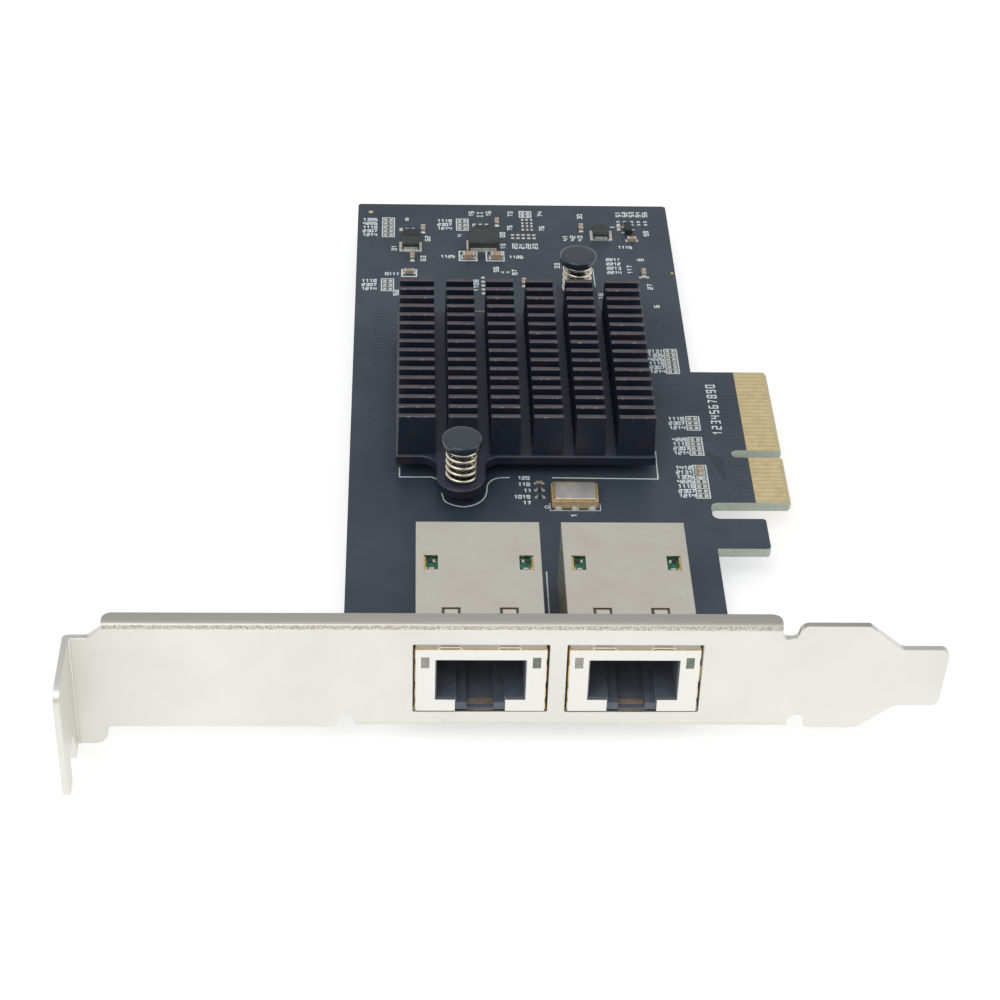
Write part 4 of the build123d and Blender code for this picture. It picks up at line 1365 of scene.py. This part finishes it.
@dataclass
class Bracket(Assembly):
    """The folded bracket and the two screws behind it."""

    sheet: float = 0.86
    bend: float = 0.8
    inner_bend: float = 0.2
    edge: float = 0.06
    ear_drop: float = 3.17
    ear_top: float = 15.93
    tab_reach: float = 11.43
    tab_corner: float = 2.2
    prong_round: float = 1.2
    slot_near: float = -7.32
    slot_far: float = -2.9
    slot_depth: float = 5.3
    lip: Point = (5.3, 96.8)
    lip_depth: float = 2.6
    lip_corner: float = 1.3
    flange: Point = (38.9, 98.8)
    flange_depth: float = 3.2
    cutout_rows: Point = (2.83, 15.0)
    cutout_gap: float = 0.4
    cutout_corner: float = 0.25
    fixing_tab: Point = (7.2, 11.6)
    screw_places: tuple[Point, ...] = ((42.25, 7.6), (89.35, 7.6))
    head_radius: float = 2.5
    head_height: float = 1.5
    dome_height: float = 0.75
    shank_radius: float = 1.25
    shank_end: float = -0.9
    thread_pitch: float = 0.3
    recess_size: Point = (0.5, 0.34)
    recess_reach: float = 0.82

    # The face's outline from the ear round to the tongue: across, height and rounding
    tongue_outline: tuple[Place, ...] = (
        (101.2, 2.3, 1.15), (101.2, 0.0, 0.5), (108.62, 0.0, 1.5), (113.42, 4.115, 1.5),
        (119.52, 4.115, 1.1), (120.0, 14.305, 1.2), (113.42, 14.305, 1.5), (108.62, 18.42, 1.0),
        (99.2, 18.42, 1.3), (99.0, 16.12, 1.0), (96.8, 16.12, 0.9))

    @property
    def levels(self) -> list[Point]:
        """Give the levels of the sheet: how far its edge is cut back, and its depth."""
        return [(0.0, self.sheet), (0.0, self.edge), (self.edge, 0.0)]

    def build(self) -> None:
        """Build the bracket with its rounded corners, then the screws."""
        sheet, screws = Shape(), Shape()
        self.add_face(sheet)
        self.add_folds(sheet)
        self.add_tab(sheet)
        self.keep(sheet, "bracket_sheet", "bracket", "bracket_steel", "bracket", smooth=40.0)
        for place in self.screw_places:
            self.add_screw(screws, place)
        self.keep(screws, "bracket_screw_heads", "screw", "screw_steel", "bracket_screws",
                  smooth=35.0)

    def add_face(self, shape: Shape) -> None:
        """Add the flat face with the two cut-outs of the ports.

        Args:
            shape: The shape that takes it.
        """
        start, fold = self.sheet + self.inner_bend, BRACKET_WIDTH - self.bend
        outlines = [rounded([
            (start, -self.ear_drop, 0.0), (4.9, -self.ear_drop, 2.0), (5.15, 0.0, 0.6),
            (36.5, 0.0, 0.5), (36.5, 2.3, 1.15), (self.flange[0], 2.3, 1.15),
            (self.flange[0], self.bend, 0.0), (self.flange[1], self.bend, 0.0),
            (self.flange[1], 2.3, 1.15), *self.tongue_outline, (self.lip[1], fold, 0.0),
            (self.lip[0], fold, 0.0), (3.3, self.ear_top, 1.2), (start, self.ear_top, 0.0)])]
        low, high = self.cutout_rows
        for left in PORT_LEFTS.values():
            corners = box(left - self.cutout_gap, low, left + PORT_WIDTH + self.cutout_gap, high)
            outlines.append(rounded([(*corner, self.cutout_corner) for corner in corners], 3))
        shape.plate(outlines, self.levels, lambda x, y, level: spot(x, level, y))

    def fold(self, depth: float) -> list[Point]:
        """Give the outline of a fold: along and height, from the lower edge of the bracket.

        Args:
            depth: How deep the fold's flat part reaches.

        Returns:
            The outline.
        """
        inner = self.sheet + self.inner_bend
        points = arc((self.bend, self.bend), self.bend, 180, 270, 8)
        points += [(depth - self.edge, 0.0), (depth, self.edge), (depth, self.sheet)]
        return points + arc((inner, inner), self.inner_bend, 270, 180, 4)

    def add_folds(self, shape: Shape) -> None:
        """Add the lip with its rounded ends, the flange and its two fixing tabs.

        Args:
            shape: The shape that takes them.
        """
        cuts = arc((self.lip_corner, self.lip_corner), self.lip_corner, 180, 270, 6)
        stations = [(self.lip[0] + along, depth) for along, depth in cuts]
        stations += [(self.lip[1] - along, depth) for along, depth in cuts[::-1]]
        shape.join([[(across, along, BRACKET_WIDTH - height)
                     for along, height in self.fold(self.lip_depth - cut)]
                    for across, cut in stations])
        shape.join([[(across, *point) for point in self.fold(self.flange_depth)]
                    for across in self.flange])
        wide, deep = self.fixing_tab
        for across, _ in self.screw_places:
            shape.tablet((across, (self.flange_depth + deep) / 2),
                         (wide, deep - self.flange_depth), 0.0, self.sheet)

    def add_tab(self, shape: Shape) -> None:
        """Add the screw tab with its open slot, and the fold that carries it.

        Args:
            shape: The shape that takes it.
        """
        low, high, root = -self.ear_drop, self.ear_top, -self.inner_bend
        radius = (self.slot_far - self.slot_near) / 2
        outline = rounded([
            (root, low, 0.0), (root, high, 0.0), (-self.tab_reach, high, self.tab_corner),
            (-self.tab_reach, low, self.tab_corner), (self.slot_near, low, self.prong_round),
            (self.slot_near, low + self.slot_depth, 0.0)])[:-1]
        outline += arc((self.slot_near + radius, low + self.slot_depth - radius), radius, 180, 0,
                       14)
        outline.append((self.slot_far, low))
        shape.plate([outline], self.levels, lambda x, y, level: spot(level, x, y))
        corner = self.sheet + self.inner_bend
        bend = arc((corner, root), self.inner_bend, 180, 90, 4) + [(corner, self.sheet)]
        bend += arc((self.bend, self.sheet - self.bend), self.bend, 90, 180, 8) + [(0.0, root)]
        shape.join([[(*point, height) for point in bend] for height in (low, high)])

    def add_screw(self, shape: Shape, place: Point) -> None:
        """Add one domed screw with a crossed recess.

        Args:
            shape: The shape that takes it.
            place: Where its axis stands.
        """
        high, shank, end = BOARD_TOP + self.head_height, self.shank_radius, self.shank_end
        profile, height = [(shank - 0.2, end - 0.2), (shank, end)], end + 0.2
        while height < BOARD_BOTTOM - 0.9:
            profile += [(shank - 0.12, height), (shank, height + 0.1)]
            height += self.thread_pitch
        profile += [(shank, BOARD_TOP), (self.head_radius, BOARD_TOP)]
        profile += [(self.head_radius * math.cos(a),
                     high - self.dome_height * (1 - math.sin(a))) for a in (0.0, 0.4, 0.8, 1.15)]
        profile += [(1.25, high - 0.02), (1.05, high - 0.6), (0.35, high - 0.9)]
        shape.turned(place, profile, 32)
        for reach in (-self.recess_reach, self.recess_reach):
            for middle, size in (((place[0] + reach, place[1]), self.recess_size),
                                 ((place[0], place[1] + reach), self.recess_size[::-1])):
                shape.tablet(middle, size, high - 0.85, high - 0.12)


@dataclass
class Port(Assembly):
    """One network port: its shield's trim, windows, lights and wires."""

    side: str
    bead: float = 0.13
    bead_inset: float = 0.25
    finger_spacing: float = 8.0
    finger_width: float = 3.3
    finger_slope: float = 0.35
    finger_height: float = 14.42
    window_from_side: float = 1.1
    window_start: float = 17.2
    window_length: float = 3.2
    board_height: float = 13.59
    land_height: float = 0.05
    # The latch floor's steps: start, end and height, then how wide they are
    latch_steps: tuple[Place, ...] = ((0.1, 1.05, 3.04), (1.08, 2.1, 3.385))
    latch_width: float = 3.6
    vent: Point = (1.65, 10.9)
    vent_radius: float = 0.42
    # Low and high ends of the bright seams up the port's sides
    seams: tuple[Point, ...] = ((12.4, 13.9), (8.3, 11.2), (5.4, 6.9), (3.3, 4.4))
    seam_size: Point = (0.16, 0.5)

    @property
    def name(self) -> str:
        """Give the start of the names of the port's nodes."""
        return f"jack_{self.side}"

    @property
    def middle(self) -> float:
        """Give the middle of the port."""
        return PORT_LEFTS[self.side] + PORT_WIDTH / 2

    def build(self) -> None:
        """Dress the port's nodes and add its small parts."""
        for look, part in (
                ("shield", "shield"), ("insert", "insert"), ("gold", "wires"),
                ("link_lens", "link_light"), ("activity_lens", "activity_light"),
                ("port_board", "magnetics_board"), ("tin", "pins")):
            self.dress(look, f"{self.name}_{part}")
        self.build_trim()
        self.build_window_parts()

    def build_trim(self) -> None:
        """Build the brassy fold, the earthing fingers, the side seams and the latch floor."""
        trim, fingers, floor = Shape(), Shape(), Shape()
        left, height = PORT_LEFTS[self.side], PORT_TOP - 0.06
        trim.sweep([(across, self.bead, height)
                    for across in (left + self.bead_inset, self.middle,
                                   left + PORT_WIDTH - self.bead_inset)],
                   circle((0, 0), self.bead, 8))
        top, half = PORT_TOP - 0.02, self.finger_width / 2
        for direction in (-1, 1):
            finger = self.middle + direction * self.finger_spacing / 2 - 0.2
            fingers.sweep([(finger - half, 0.5, PORT_TOP),
                           (finger - half + self.finger_slope, 0.5, self.finger_height),
                           (finger + half - self.finger_slope, 0.5, self.finger_height),
                           (finger + half, 0.5, PORT_TOP)], box(-0.42, -0.08, 0.42, 0.08))
            edge = self.middle + direction * (PORT_WIDTH / 2 + 0.05)
            for low, high in self.seams:
                trim.tablet((edge, 0.42), self.seam_size, low, high, 0.04)
            trim.tablet((edge - direction * 0.02, 0.62), (0.1, 0.3), BOARD_TOP + 0.7,
                        PORT_TOP - 0.3, 0.02)
            trim.tablet((edge - direction * 0.25, 0.3), (0.5, 0.5), PORT_TOP - 0.75,
                        PORT_TOP + 0.1, 0.12)
            vent = (self.middle + direction * (PORT_WIDTH / 2 - self.vent[0]), self.vent[1])
            fingers.turned(vent, [(self.vent_radius, PORT_TOP - 0.22), (self.vent_radius, top),
                                  (self.vent_radius * 0.6, top - 0.03), (0.0, top - 0.04)], 16)
        self.keep(trim, f"{self.name}_trim", "brass", "shield_metal", smooth=40.0)
        self.keep(fingers, f"{self.name}_fingers", "shield", "shield_metal", smooth=40.0)
        for start, end, height in self.latch_steps:
            floor.tablet((self.middle, (start + end) / 2), (self.latch_width, end - start),
                         height, height + self.land_height, 0.02)
        self.keep(floor, f"{self.name}_latch_floor", "latch", "shield_metal")

    def build_window_parts(self) -> None:
        """Build the folded tab, the land and the small part seen in each window."""
        tabs, lands, chips = Shape(), Shape(), Shape()
        near, far = self.window_start + 0.25, self.window_start + self.window_length - 0.2
        low, high = self.board_height, self.board_height + self.land_height
        for direction in (-1, 1):
            outer = self.middle + direction * (PORT_WIDTH / 2 - self.window_from_side)
            tabs.tablet((outer - direction * 0.14, (near + far) / 2), (0.26, far - near),
                        PORT_TOP - 0.52, PORT_TOP - 0.03, 0.05)
            tabs.tablet((outer - direction * 0.36, near + 0.45), (0.3, 0.5),
                        PORT_TOP - 0.5, PORT_TOP - 0.26, 0.05)
            inner = outer - direction * 1.1
            lands.tablet((inner, near + 0.55), (0.75, 0.35), low, high, 0.01)
            lands.tablet((inner - direction * 0.35, far - 0.5), (0.35, 0.6), low, high, 0.01)
            chips.tablet((inner + direction * 0.2, far - 0.5), (0.6, 0.7), low, low + 0.16, 0.03)
        self.keep(tabs, f"{self.name}_window_tabs", "brass", "shield_metal")
        self.keep(lands, f"{self.name}_window_lands", "tin", "tinned_pin")
        self.keep(chips, f"{self.name}_window_chips", "chip", "chip_black")


@dataclass
class Heatsink(Assembly):
    """The pin-fin heatsink, with the package, die and pad that it hides."""

    middle: Point = (64.45, 75.0)
    width: float = 40.2
    length: float = 40.6
    base_low: float = 4.48
    base_bevel: float = 0.18
    rows: int = 16
    thickness: float = 1.05
    draft: float = 1.0
    pin_clip: float = 0.09
    pin_bevel: float = 0.07
    sink: float = 0.02
    inner_columns: int = 4
    gap: float = 1.8
    side_gap: float = 0.2
    outer_share: float = 1.242
    ear_radius: float = 3.75
    ear_blend: float = 2.4
    hole_radius: float = 1.55

    def build(self) -> None:
        """Dress what lies underneath and grow the pins on their base."""
        self.dress("package", "controller_substrate")
        self.dress("silicon", "controller_die")
        self.dress("pad", "thermal_pad")
        full = self.width - 2 * self.side_gap
        inner = ((full - (self.inner_columns + 1) * self.gap)
                 / (self.inner_columns + 2 * self.outer_share))
        outer = inner * self.outer_share
        left = self.middle[0] - full / 2
        base = self.base_plate()
        piece = self.pin_tree().grow("heatsink_pins", base.data.copy(), {
            "Finish": self.looks["fins"], "Outer pin": self.pin_shape("outer_pin", outer),
            "Inner pin": self.pin_shape("inner_pin", inner), "Rows": self.rows,
            "Pitch": FIN_PITCH * MM,
            "First row": spot(0, self.middle[1] - (self.rows - 1) / 2 * FIN_PITCH, 0).y,
            "Base top": spot(0, 0, BASE_TOP - self.sink).z,
            "Outer start": spot(left + outer / 2, 0, 0).x, "Outer step": (full - outer) * MM,
            "Inner start": spot(left + outer + self.gap + inner / 2, 0, 0).x,
            "Inner step": (inner + self.gap) * MM, "Inner columns": self.inner_columns})
        bpy.data.objects.remove(base)
        settle(piece, "heatsink_black", "heatsink")

    def base_plate(self) -> Piece:
        """Build the base with its two ears and their holes.

        Returns:
            The base as an object.
        """
        left, right = self.middle[0] - self.width / 2, self.middle[0] + self.width / 2
        near, far = self.middle[1] - self.length / 2, self.middle[1] + self.length / 2
        outline = [(left, near), *self.ear(PIN_PLACES["front"], near, -1), (right, near),
                   (right, far), *self.ear(PIN_PLACES["rear"], far, 1), (left, far)]
        holes = [circle(place, self.hole_radius, 28) for place in PIN_PLACES.values()]
        plate = Shape()
        plate.plate([outline, *holes],
                    [(0.0, self.base_low), (0.0, BASE_TOP - self.base_bevel),
                     (self.base_bevel, BASE_TOP)], spot)
        return plate.finish("heatsink_base", self.looks["fins"])

    def ear(self, place: Point, edge: float, side: int) -> list[Point]:
        """Give the outline of one ear, in the order in which the whole outline runs.

        Args:
            place: The middle of the ear's round end.
            edge: Where the base's edge lies.
            side: -1 for the front edge and 1 for the rear edge.

        Returns:
            The ear's points.
        """
        radius, blend = self.ear_radius, self.ear_blend
        reach, level = radius + blend, edge + side * blend
        points = arc((place[0] - reach, level), blend, -90 * side, 0, 6)
        points += arc(place, radius, -180 * side, -360 * side, 16)
        points += arc((place[0] + reach, level), blend, 180, 180 + 90 * side, 6)
        return points if side < 0 else points[::-1]

    def pin_shape(self, name: str, width: float) -> Piece:
        """Make one drafted pin with softened corners, standing at the origin.

        Args:
            name: The shape's name.
            width: How wide it is at its foot.

        Returns:
            The hidden shape.
        """
        lean, rings = math.tan(math.radians(self.draft)), []
        for height, extra in ((0.0, 0.0), (FIN_HEIGHT - self.pin_bevel, 0.0),
                              (FIN_HEIGHT, self.pin_bevel)):
            shrink = height * lean + extra
            rings.append([(x * MM, y * MM, (height + self.sink) * MM) for x, y in clipped(
                width / 2 - shrink, self.thickness / 2 - shrink, self.pin_clip)])
        return template(name, rings)

    @staticmethod
    def pin_tree() -> GrowingTree:
        """Build the tree that stands rows of pins in columns on the base.

        Returns:
            The tree.
        """
        grown = GrowingTree(
            "pins_in_rows_and_columns", Outer_pin="Object", Inner_pin="Object", Rows="Int",
            Pitch="Float", First_row="Float", Base_top="Float", Outer_start="Float",
            Outer_step="Float", Inner_start="Float", Inner_step="Float", Inner_columns="Int")

        def line(count: Socket | int, start: dict[str, str], step: dict[str, str]) -> Socket:
            """Set points in a line, its start and step given by an input for each axis."""
            start_at, step_by = (grown.node("ShaderNodeCombineXYZ", inputs={
                axis: grown.given(name) for axis, name in parts.items()}).outputs[0]
                for parts in (start, step))
            return grown.node("GeometryNodeMeshLine", {"mode": "OFFSET"}, {
                "Count": count, "Start Location": start_at, "Offset": step_by}).outputs[0]

        row = line(grown.given("Rows"), {"Y": "First row", "Z": "Base top"}, {"Y": "Pitch"})
        joined = grown.node("GeometryNodeJoinGeometry", inputs={0: grown.given("Geometry")})
        for kind, count in (("Outer", 2), ("Inner", grown.given("Inner columns"))):
            columns = line(count, {"X": f"{kind} start"}, {"X": f"{kind} step"})
            standing = grown.copies(columns, grown.copies(row, grown.given(f"{kind} pin")))
            grown.tree.links.new(standing, joined.inputs[0])
        grown.end(joined.outputs[0], smooth=False)
        return grown


@dataclass
class PushPin(Assembly):
    """One push pin and its coil spring."""

    side: str
    coil: GrowingTree
    head_low: float = 11.98
    head_radius: float = 3.1
    head_thickness: float = 1.4
    head_round: float = 0.42
    head_clip: float = 0.2
    stem_radius: float = 1.3
    barb_top: float = 0.81
    barb_length: float = 2.6
    barb_radius: float = 2.0
    tip_radius: float = 0.9
    slot: float = 0.6
    slot_top: float = 2.21
    spring_radius: float = 2.21
    spring_wire: float = 0.28
    spring_turns: float = 4.5
    steps: int = 64

    def build(self) -> None:
        """Build the pin and grow its spring."""
        place, pin = PIN_PLACES[self.side], Shape()
        radius, high = self.head_radius, self.head_low + self.head_thickness
        profile = [(self.stem_radius, self.slot_top), (self.stem_radius, self.head_low),
                   (radius - self.head_clip, self.head_low),
                   (radius, self.head_low + self.head_clip)]
        profile += arc((radius - self.head_round, high - self.head_round), self.head_round,
                       0, 90, 5)
        pin.turned(place, profile + [(radius * 0.6, high), (0.0, high)], self.steps)
        for direction in (-1, 1):
            self.add_barb(pin, place, direction)
        self.keep(pin, f"push_pin_{self.side}_moulding", "nylon", "pin_plastic",
                  f"push_pin_{self.side}", smooth=40.0)
        host = bpy.data.meshes.new("coil_place")
        low, high = BASE_TOP + self.spring_wire, self.head_low - self.spring_wire
        host.from_pydata([spot(*place, low)], [], [])
        spring = self.coil.grow(f"push_pin_{self.side}_coil", host, {
            "Finish": self.looks["spring"], "Radius": self.spring_radius * MM,
            "Wire": self.spring_wire * MM, "Height": (high - low) * MM,
            "Turns": self.spring_turns})
        settle(spring, "spring_wire", f"push_pin_spring_{self.side}")

    def add_barb(self, shape: Shape, place: Point, direction: int) -> None:
        """Add one half of the split barb.

        Args:
            shape: The shape that takes it.
            place: Where the pin's axis stands.
            direction: 1 for the half towards the tongue and -1 for the other.
        """
        half, rings = self.slot / 2, []
        for radius, height in ((self.tip_radius, self.barb_top - self.barb_length),
                               (self.barb_radius, self.barb_top - 0.4),
                               (self.barb_radius, self.barb_top),
                               (self.stem_radius, self.barb_top),
                               (self.stem_radius, self.slot_top)):
            limit = math.degrees(math.acos(half / radius))
            rings.append([(place[0] + direction * max(half, x), place[1] + direction * y, height)
                          for x, y in arc((0, 0), radius, -limit, limit, 16)])
        shape.join(rings)

    @staticmethod
    def coil_tree() -> GrowingTree:
        """Build the tree that winds a coil spring, the ends of its wire capped.

        Returns:
            The tree.
        """
        grown = GrowingTree("coil_spring", Radius="Float", Wire="Float", Height="Float",
                            Turns="Float")
        spiral = grown.node("GeometryNodeCurveSpiral", inputs={
            "Resolution": 40, "Rotations": grown.given("Turns"),
            "Start Radius": grown.given("Radius"), "End Radius": grown.given("Radius"),
            "Height": grown.given("Height")})
        profile = grown.node("GeometryNodeCurvePrimitiveCircle", {"mode": "RADIUS"}, {
            "Resolution": 10, "Radius": grown.given("Wire")})
        wire = grown.node("GeometryNodeCurveToMesh", inputs={
            "Curve": spiral.outputs[0], "Profile Curve": profile.outputs[0],
            "Fill Caps": True})
        grown.end(grown.copies(grown.given("Geometry"), wire.outputs[0]), smooth=True)
        return grown


class Chip(Enum):
    """The length, width and height of a chip with its ends."""

    SMALL = (1.6, 0.8, 0.8)
    LARGE = (2.2, 1.3, 1.1)
    TINY = (1.0, 0.5, 0.35)


@dataclass
class SmallParts(Assembly):
    """The power parts behind the heatsink, the chips and the oscillator."""

    end_share: float = 0.22
    chip_lift: float = 0.03
    oscillator: Point = (71.75, 48.8)
    oscillator_size: Point = (7.1, 5.0)
    oscillator_clip: float = 0.35
    rim_share: Point = (0.93, 0.91)
    terminal_pitch: float = 2.54
    cup_height: float = 1.3
    lid_height: float = 0.25
    capacitors: tuple[tuple[Chip, float, float, Turn], ...] = (
        (Chip.SMALL, 48.7, 126.9, Turn.ALONG), (Chip.SMALL, 46.8, 117.5, Turn.ALONG),
        (Chip.LARGE, 56.7, 117.9, Turn.ACROSS), (Chip.LARGE, 61.6, 117.9, Turn.ACROSS),
        (Chip.SMALL, 61.9, 129.4, Turn.ALONG), (Chip.SMALL, 76.9, 127.7, Turn.ALONG),
        (Chip.SMALL, 85.75, 123.9, Turn.ACROSS), (Chip.SMALL, 87.1, 112.9, Turn.ALONG),
        (Chip.SMALL, 66.1, 109.5, Turn.ALONG), (Chip.SMALL, 46.25, 112.7, Turn.ACROSS),
        (Chip.SMALL, 91.7, 55.0, Turn.ALONG), (Chip.TINY, 66.45, 52.6, Turn.ACROSS))
    resistors: tuple[tuple[Chip, float, float, Turn], ...] = (
        (Chip.TINY, 66.45, 50.8, Turn.ACROSS), (Chip.TINY, 66.45, 49.0, Turn.ACROSS))

    def build(self) -> None:
        """Dress the power parts and build the chips and the oscillator."""
        self.dress("ferrite", "inductor_left", "inductor_middle", "inductor_right")
        self.dress("land", "inductor_terminals", "chip_leads")
        self.dress("chip", "regulator_left", "regulator_middle", "transistor")
        self.build_chips("ceramic_capacitors", self.capacitors, "capacitor",
                         "capacitor_ceramic")
        self.build_chips("chip_resistors", self.resistors, "resistor", "resistor_black")
        self.build_oscillator()

    def build_chips(self, node: str, chips: Sequence[tuple[Chip, float, float, Turn]],
                    look: str, slot: str) -> None:
        """Grow a group of chips: bodies, metal ends and the solder at their feet.

        Args:
            node: The node of the bodies, whose ends are a second node.
            chips: The size, place and turn of each chip.
            look: The finish of the bodies.
            slot: The record's material slot of the bodies.
        """
        bodies, ends, fillets = (Placed(f"{node}_{part}") for part in ("bodies", "caps", "solder"))
        for chip, across, along, turn in chips:
            (length, width, height), angle = chip.value, turn.value
            bodies.add((across, along, BOARD_TOP + self.chip_lift),
                       (length * (1 - 2 * self.end_share) + 0.04, width - 0.06, height - 0.06),
                       angle)
            for side in (-1, 1):
                for placed, reach, size in (
                        (ends, length * (1 - self.end_share) / 2,
                         (length * self.end_share, width, height)),
                        (fillets, length / 2 + 0.12, (0.45, width * 1.05, height * 0.34))):
                    placed.add((across + side * reach * math.cos(angle),
                                along + side * reach * math.sin(angle), BOARD_TOP), size, angle)
        body, slope = block(f"{node}_shape", 0.05, 0.12), block(f"{node}_slope", 0.12, 0.55)
        self.keep_copies(bodies, body, look, slot, node)
        self.keep_copies(ends, body, "tin", "terminal_tin", f"{node}_ends")
        self.keep_copies(fillets, slope, "tin", "terminal_tin")

    def build_oscillator(self) -> None:
        """Build the oscillator's cup, its gold rim, its lid and its side lands."""
        (across, along), (wide, deep) = self.oscillator, self.oscillator_size
        top = BOARD_TOP + self.cup_height
        cup, rim, lid, lands = Shape(), Shape(), Shape(), Shape()
        outline = clipped(wide / 2, deep / 2, self.oscillator_clip)
        cup.prism([(across + x, along + y) for x, y in outline], BOARD_TOP, top, 0.06)
        rim.ribbon([(across + x * self.rim_share[0], along + y * self.rim_share[1])
                    for x, y in outline], 0.24, 0.11, closed=True, low=top - 0.02)
        lid.tablet(self.oscillator, (wide - 0.9, deep - 0.9), top, top + self.lid_height, 0.1)
        for place in (across - self.terminal_pitch, across, across + self.terminal_pitch):
            for side in (-1, 1):
                lands.tablet((place, along + side * (deep / 2 + 0.12)), (1.15, 0.62), BOARD_TOP,
                             BOARD_TOP + 0.1, 0.03)
                lands.tablet((place, along + side * (deep / 2 - 0.03)), (0.7, 0.12),
                             BOARD_TOP, top - 0.35, 0.02)
        self.keep(cup, "oscillator_cup", "cup", "oscillator_ceramic", "oscillator_base")
        self.keep(rim, "oscillator_rim", "brass", "oscillator_ceramic")
        self.keep(lid, "oscillator_cover", "lid", "oscillator_metal", "oscillator_lid")
        self.keep(lands, "oscillator_lands", "tin", "terminal_tin")


@dataclass
class Studio:
    """Floor, world, lamps and camera."""

    focal_length: float = 89.1
    camera_place: Place = (45.98, -251.87, 233.79)
    yaw: float = 2.73
    pitch: float = 37.592
    roll: float = 1.94
    floor_size: float = 9.0
    floor_height: float = -0.0002
    # Each lamp's name, place in metres, side in metres and power in watts
    lamps: tuple[tuple[str, Place, float, float], ...] = (
        ("lamp_key", (-0.35, -0.55, 0.95), 0.9, 3.4),
        ("lamp_fill", (0.75, -0.15, 0.6), 0.8, 0.9),
        ("lamp_back", (-0.1, 0.45, 1.0), 0.6, 0.4))

    def build(self) -> None:
        """Set up everything that isn't part of the card."""
        bpy.context.scene.view_settings.view_transform = "Standard"
        self.build_floor()
        self.build_world()
        for lamp in self.lamps:
            self.add_lamp(*lamp)
        self.build_camera()
        LOG.info("studio: floor, world, lamps and camera")

    def build_floor(self) -> None:
        """Lay a pale floor that reads as white to the camera and keeps the shadow."""
        half = self.floor_size / 2
        mesh = bpy.data.meshes.new("floor")
        corners = [(*corner, self.floor_height) for corner in box(-half, -half, half, half)]
        mesh.from_pydata(corners, [], [(0, 1, 2, 3)])
        made = bpy.data.materials.new("floor_paper")
        graph = Graph(made)
        path = graph.node("ShaderNodeLightPath")
        to_camera = Wire(graph, path.outputs["Is Camera Ray"])
        seen = to_camera.either(Wire(graph, path.outputs["Is Glossy Ray"])).either(
            Wire(graph, path.outputs["Is Transmission Ray"]))
        paper = graph.node("ShaderNodeBsdfDiffuse", inputs={"Color": (0.66, 0.66, 0.66, 1.0)})
        glow = graph.node("ShaderNodeEmission", inputs={
            "Color": (1.0, 1.0, 1.0, 1.0), "Strength": seen * 0.52 + to_camera * 0.07})
        both = graph.node("ShaderNodeAddShader", inputs={0: paper.outputs[0],
                                                         1: glow.outputs[0]})
        graph.node("ShaderNodeOutputMaterial", inputs={"Surface": both.outputs[0]})
        mesh.materials.append(made)
        linked("floor", mesh)

    @staticmethod
    def build_world() -> None:
        """Light the card from all round, brighter low down than overhead."""
        world = bpy.data.worlds.new("studio_world")
        bpy.context.scene.world = world
        graph = Graph(world)
        _, _, up = graph.axes(graph.coordinates.outputs["Generated"])
        sky = graph.node("ShaderNodeValToRGB", {"stops": [
            (0.0, 1.0), (0.1, 0.8), (0.38, 0.50), (0.72, 0.46), (1.0, 0.60)]}, {"Fac": up})
        seen = Wire(graph, graph.node("ShaderNodeLightPath").outputs["Is Camera Ray"])
        shade = graph.node("ShaderNodeBackground", inputs={
            "Color": graph.mix(seen, sky.outputs[0], (1.0, 1.0, 1.0)), "Strength": 1.0})
        graph.node("ShaderNodeOutputWorld", inputs={"Surface": shade.outputs[0]})

    @staticmethod
    def add_lamp(name: str, place: Place, size: float, power: float) -> None:
        """Add one large soft lamp that faces the card.

        Args:
            name: The lamp's name.
            place: Where it hangs, in metres.
            size: The side of its square, in metres.
            power: Its power in watts.
        """
        data = bpy.data.lights.new(name, "AREA")
        data.shape, data.size, data.energy = "SQUARE", size, power
        lamp = linked(name, data)
        lamp.location = place
        lamp.rotation_mode = "QUATERNION"
        lamp.rotation_quaternion = (-Vector(place)).to_track_quat("-Z", "Y")

    def build_camera(self) -> None:
        """Set the camera at the photograph's place and angle."""
        data = bpy.data.cameras.new("camera")
        data.lens, data.sensor_width = self.focal_length, 36.0
        data.clip_start, data.clip_end = 0.01, 50.0
        camera = linked("camera", data)
        yaw, pitch, roll = (math.radians(a) for a in (self.yaw, self.pitch, self.roll))
        ahead = Vector((math.sin(yaw) * math.cos(pitch), math.cos(yaw) * math.cos(pitch),
                        -math.sin(pitch)))
        right = Vector((math.cos(yaw), -math.sin(yaw), 0.0))
        up = right.cross(ahead)
        matrix = Matrix.Identity(4)
        for column, vector in enumerate((right * math.cos(roll) + up * math.sin(roll),
                                         up * math.cos(roll) - right * math.sin(roll), -ahead,
                                         spot(*self.camera_place))):
            for row in range(3):
                matrix[row][column] = vector[row]
        camera.matrix_world = matrix
        bpy.context.scene.camera = camera


def main() -> None:
    """Build the card's looks in order."""
    logging.basicConfig(level=logging.INFO, format="%(name)s: %(message)s")
    for old in list(bpy.data.objects):
        bpy.data.objects.remove(old)
    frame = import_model()
    looks = {name: finish.material() for name, finish in FINISHES.items()}
    LOG.info("finishes: %d materials", len(looks))
    Studio().build()
    shared = (frame["nodes"], looks, Placed.tree())
    Board(*shared).build()
    Bracket(*shared).build()
    for side in PORT_LEFTS:
        Port(*shared, side).build()
    Heatsink(*shared).build()
    coil = PushPin.coil_tree()
    for side in PIN_PLACES:
        PushPin(*shared, side, coil).build()
    SmallParts(*shared).build()
    for shape in [o for o in bpy.data.objects if o.hide_render and "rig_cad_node" not in o]:
        bpy.data.objects.remove(shape)


if __name__ == "__main__":
    main()
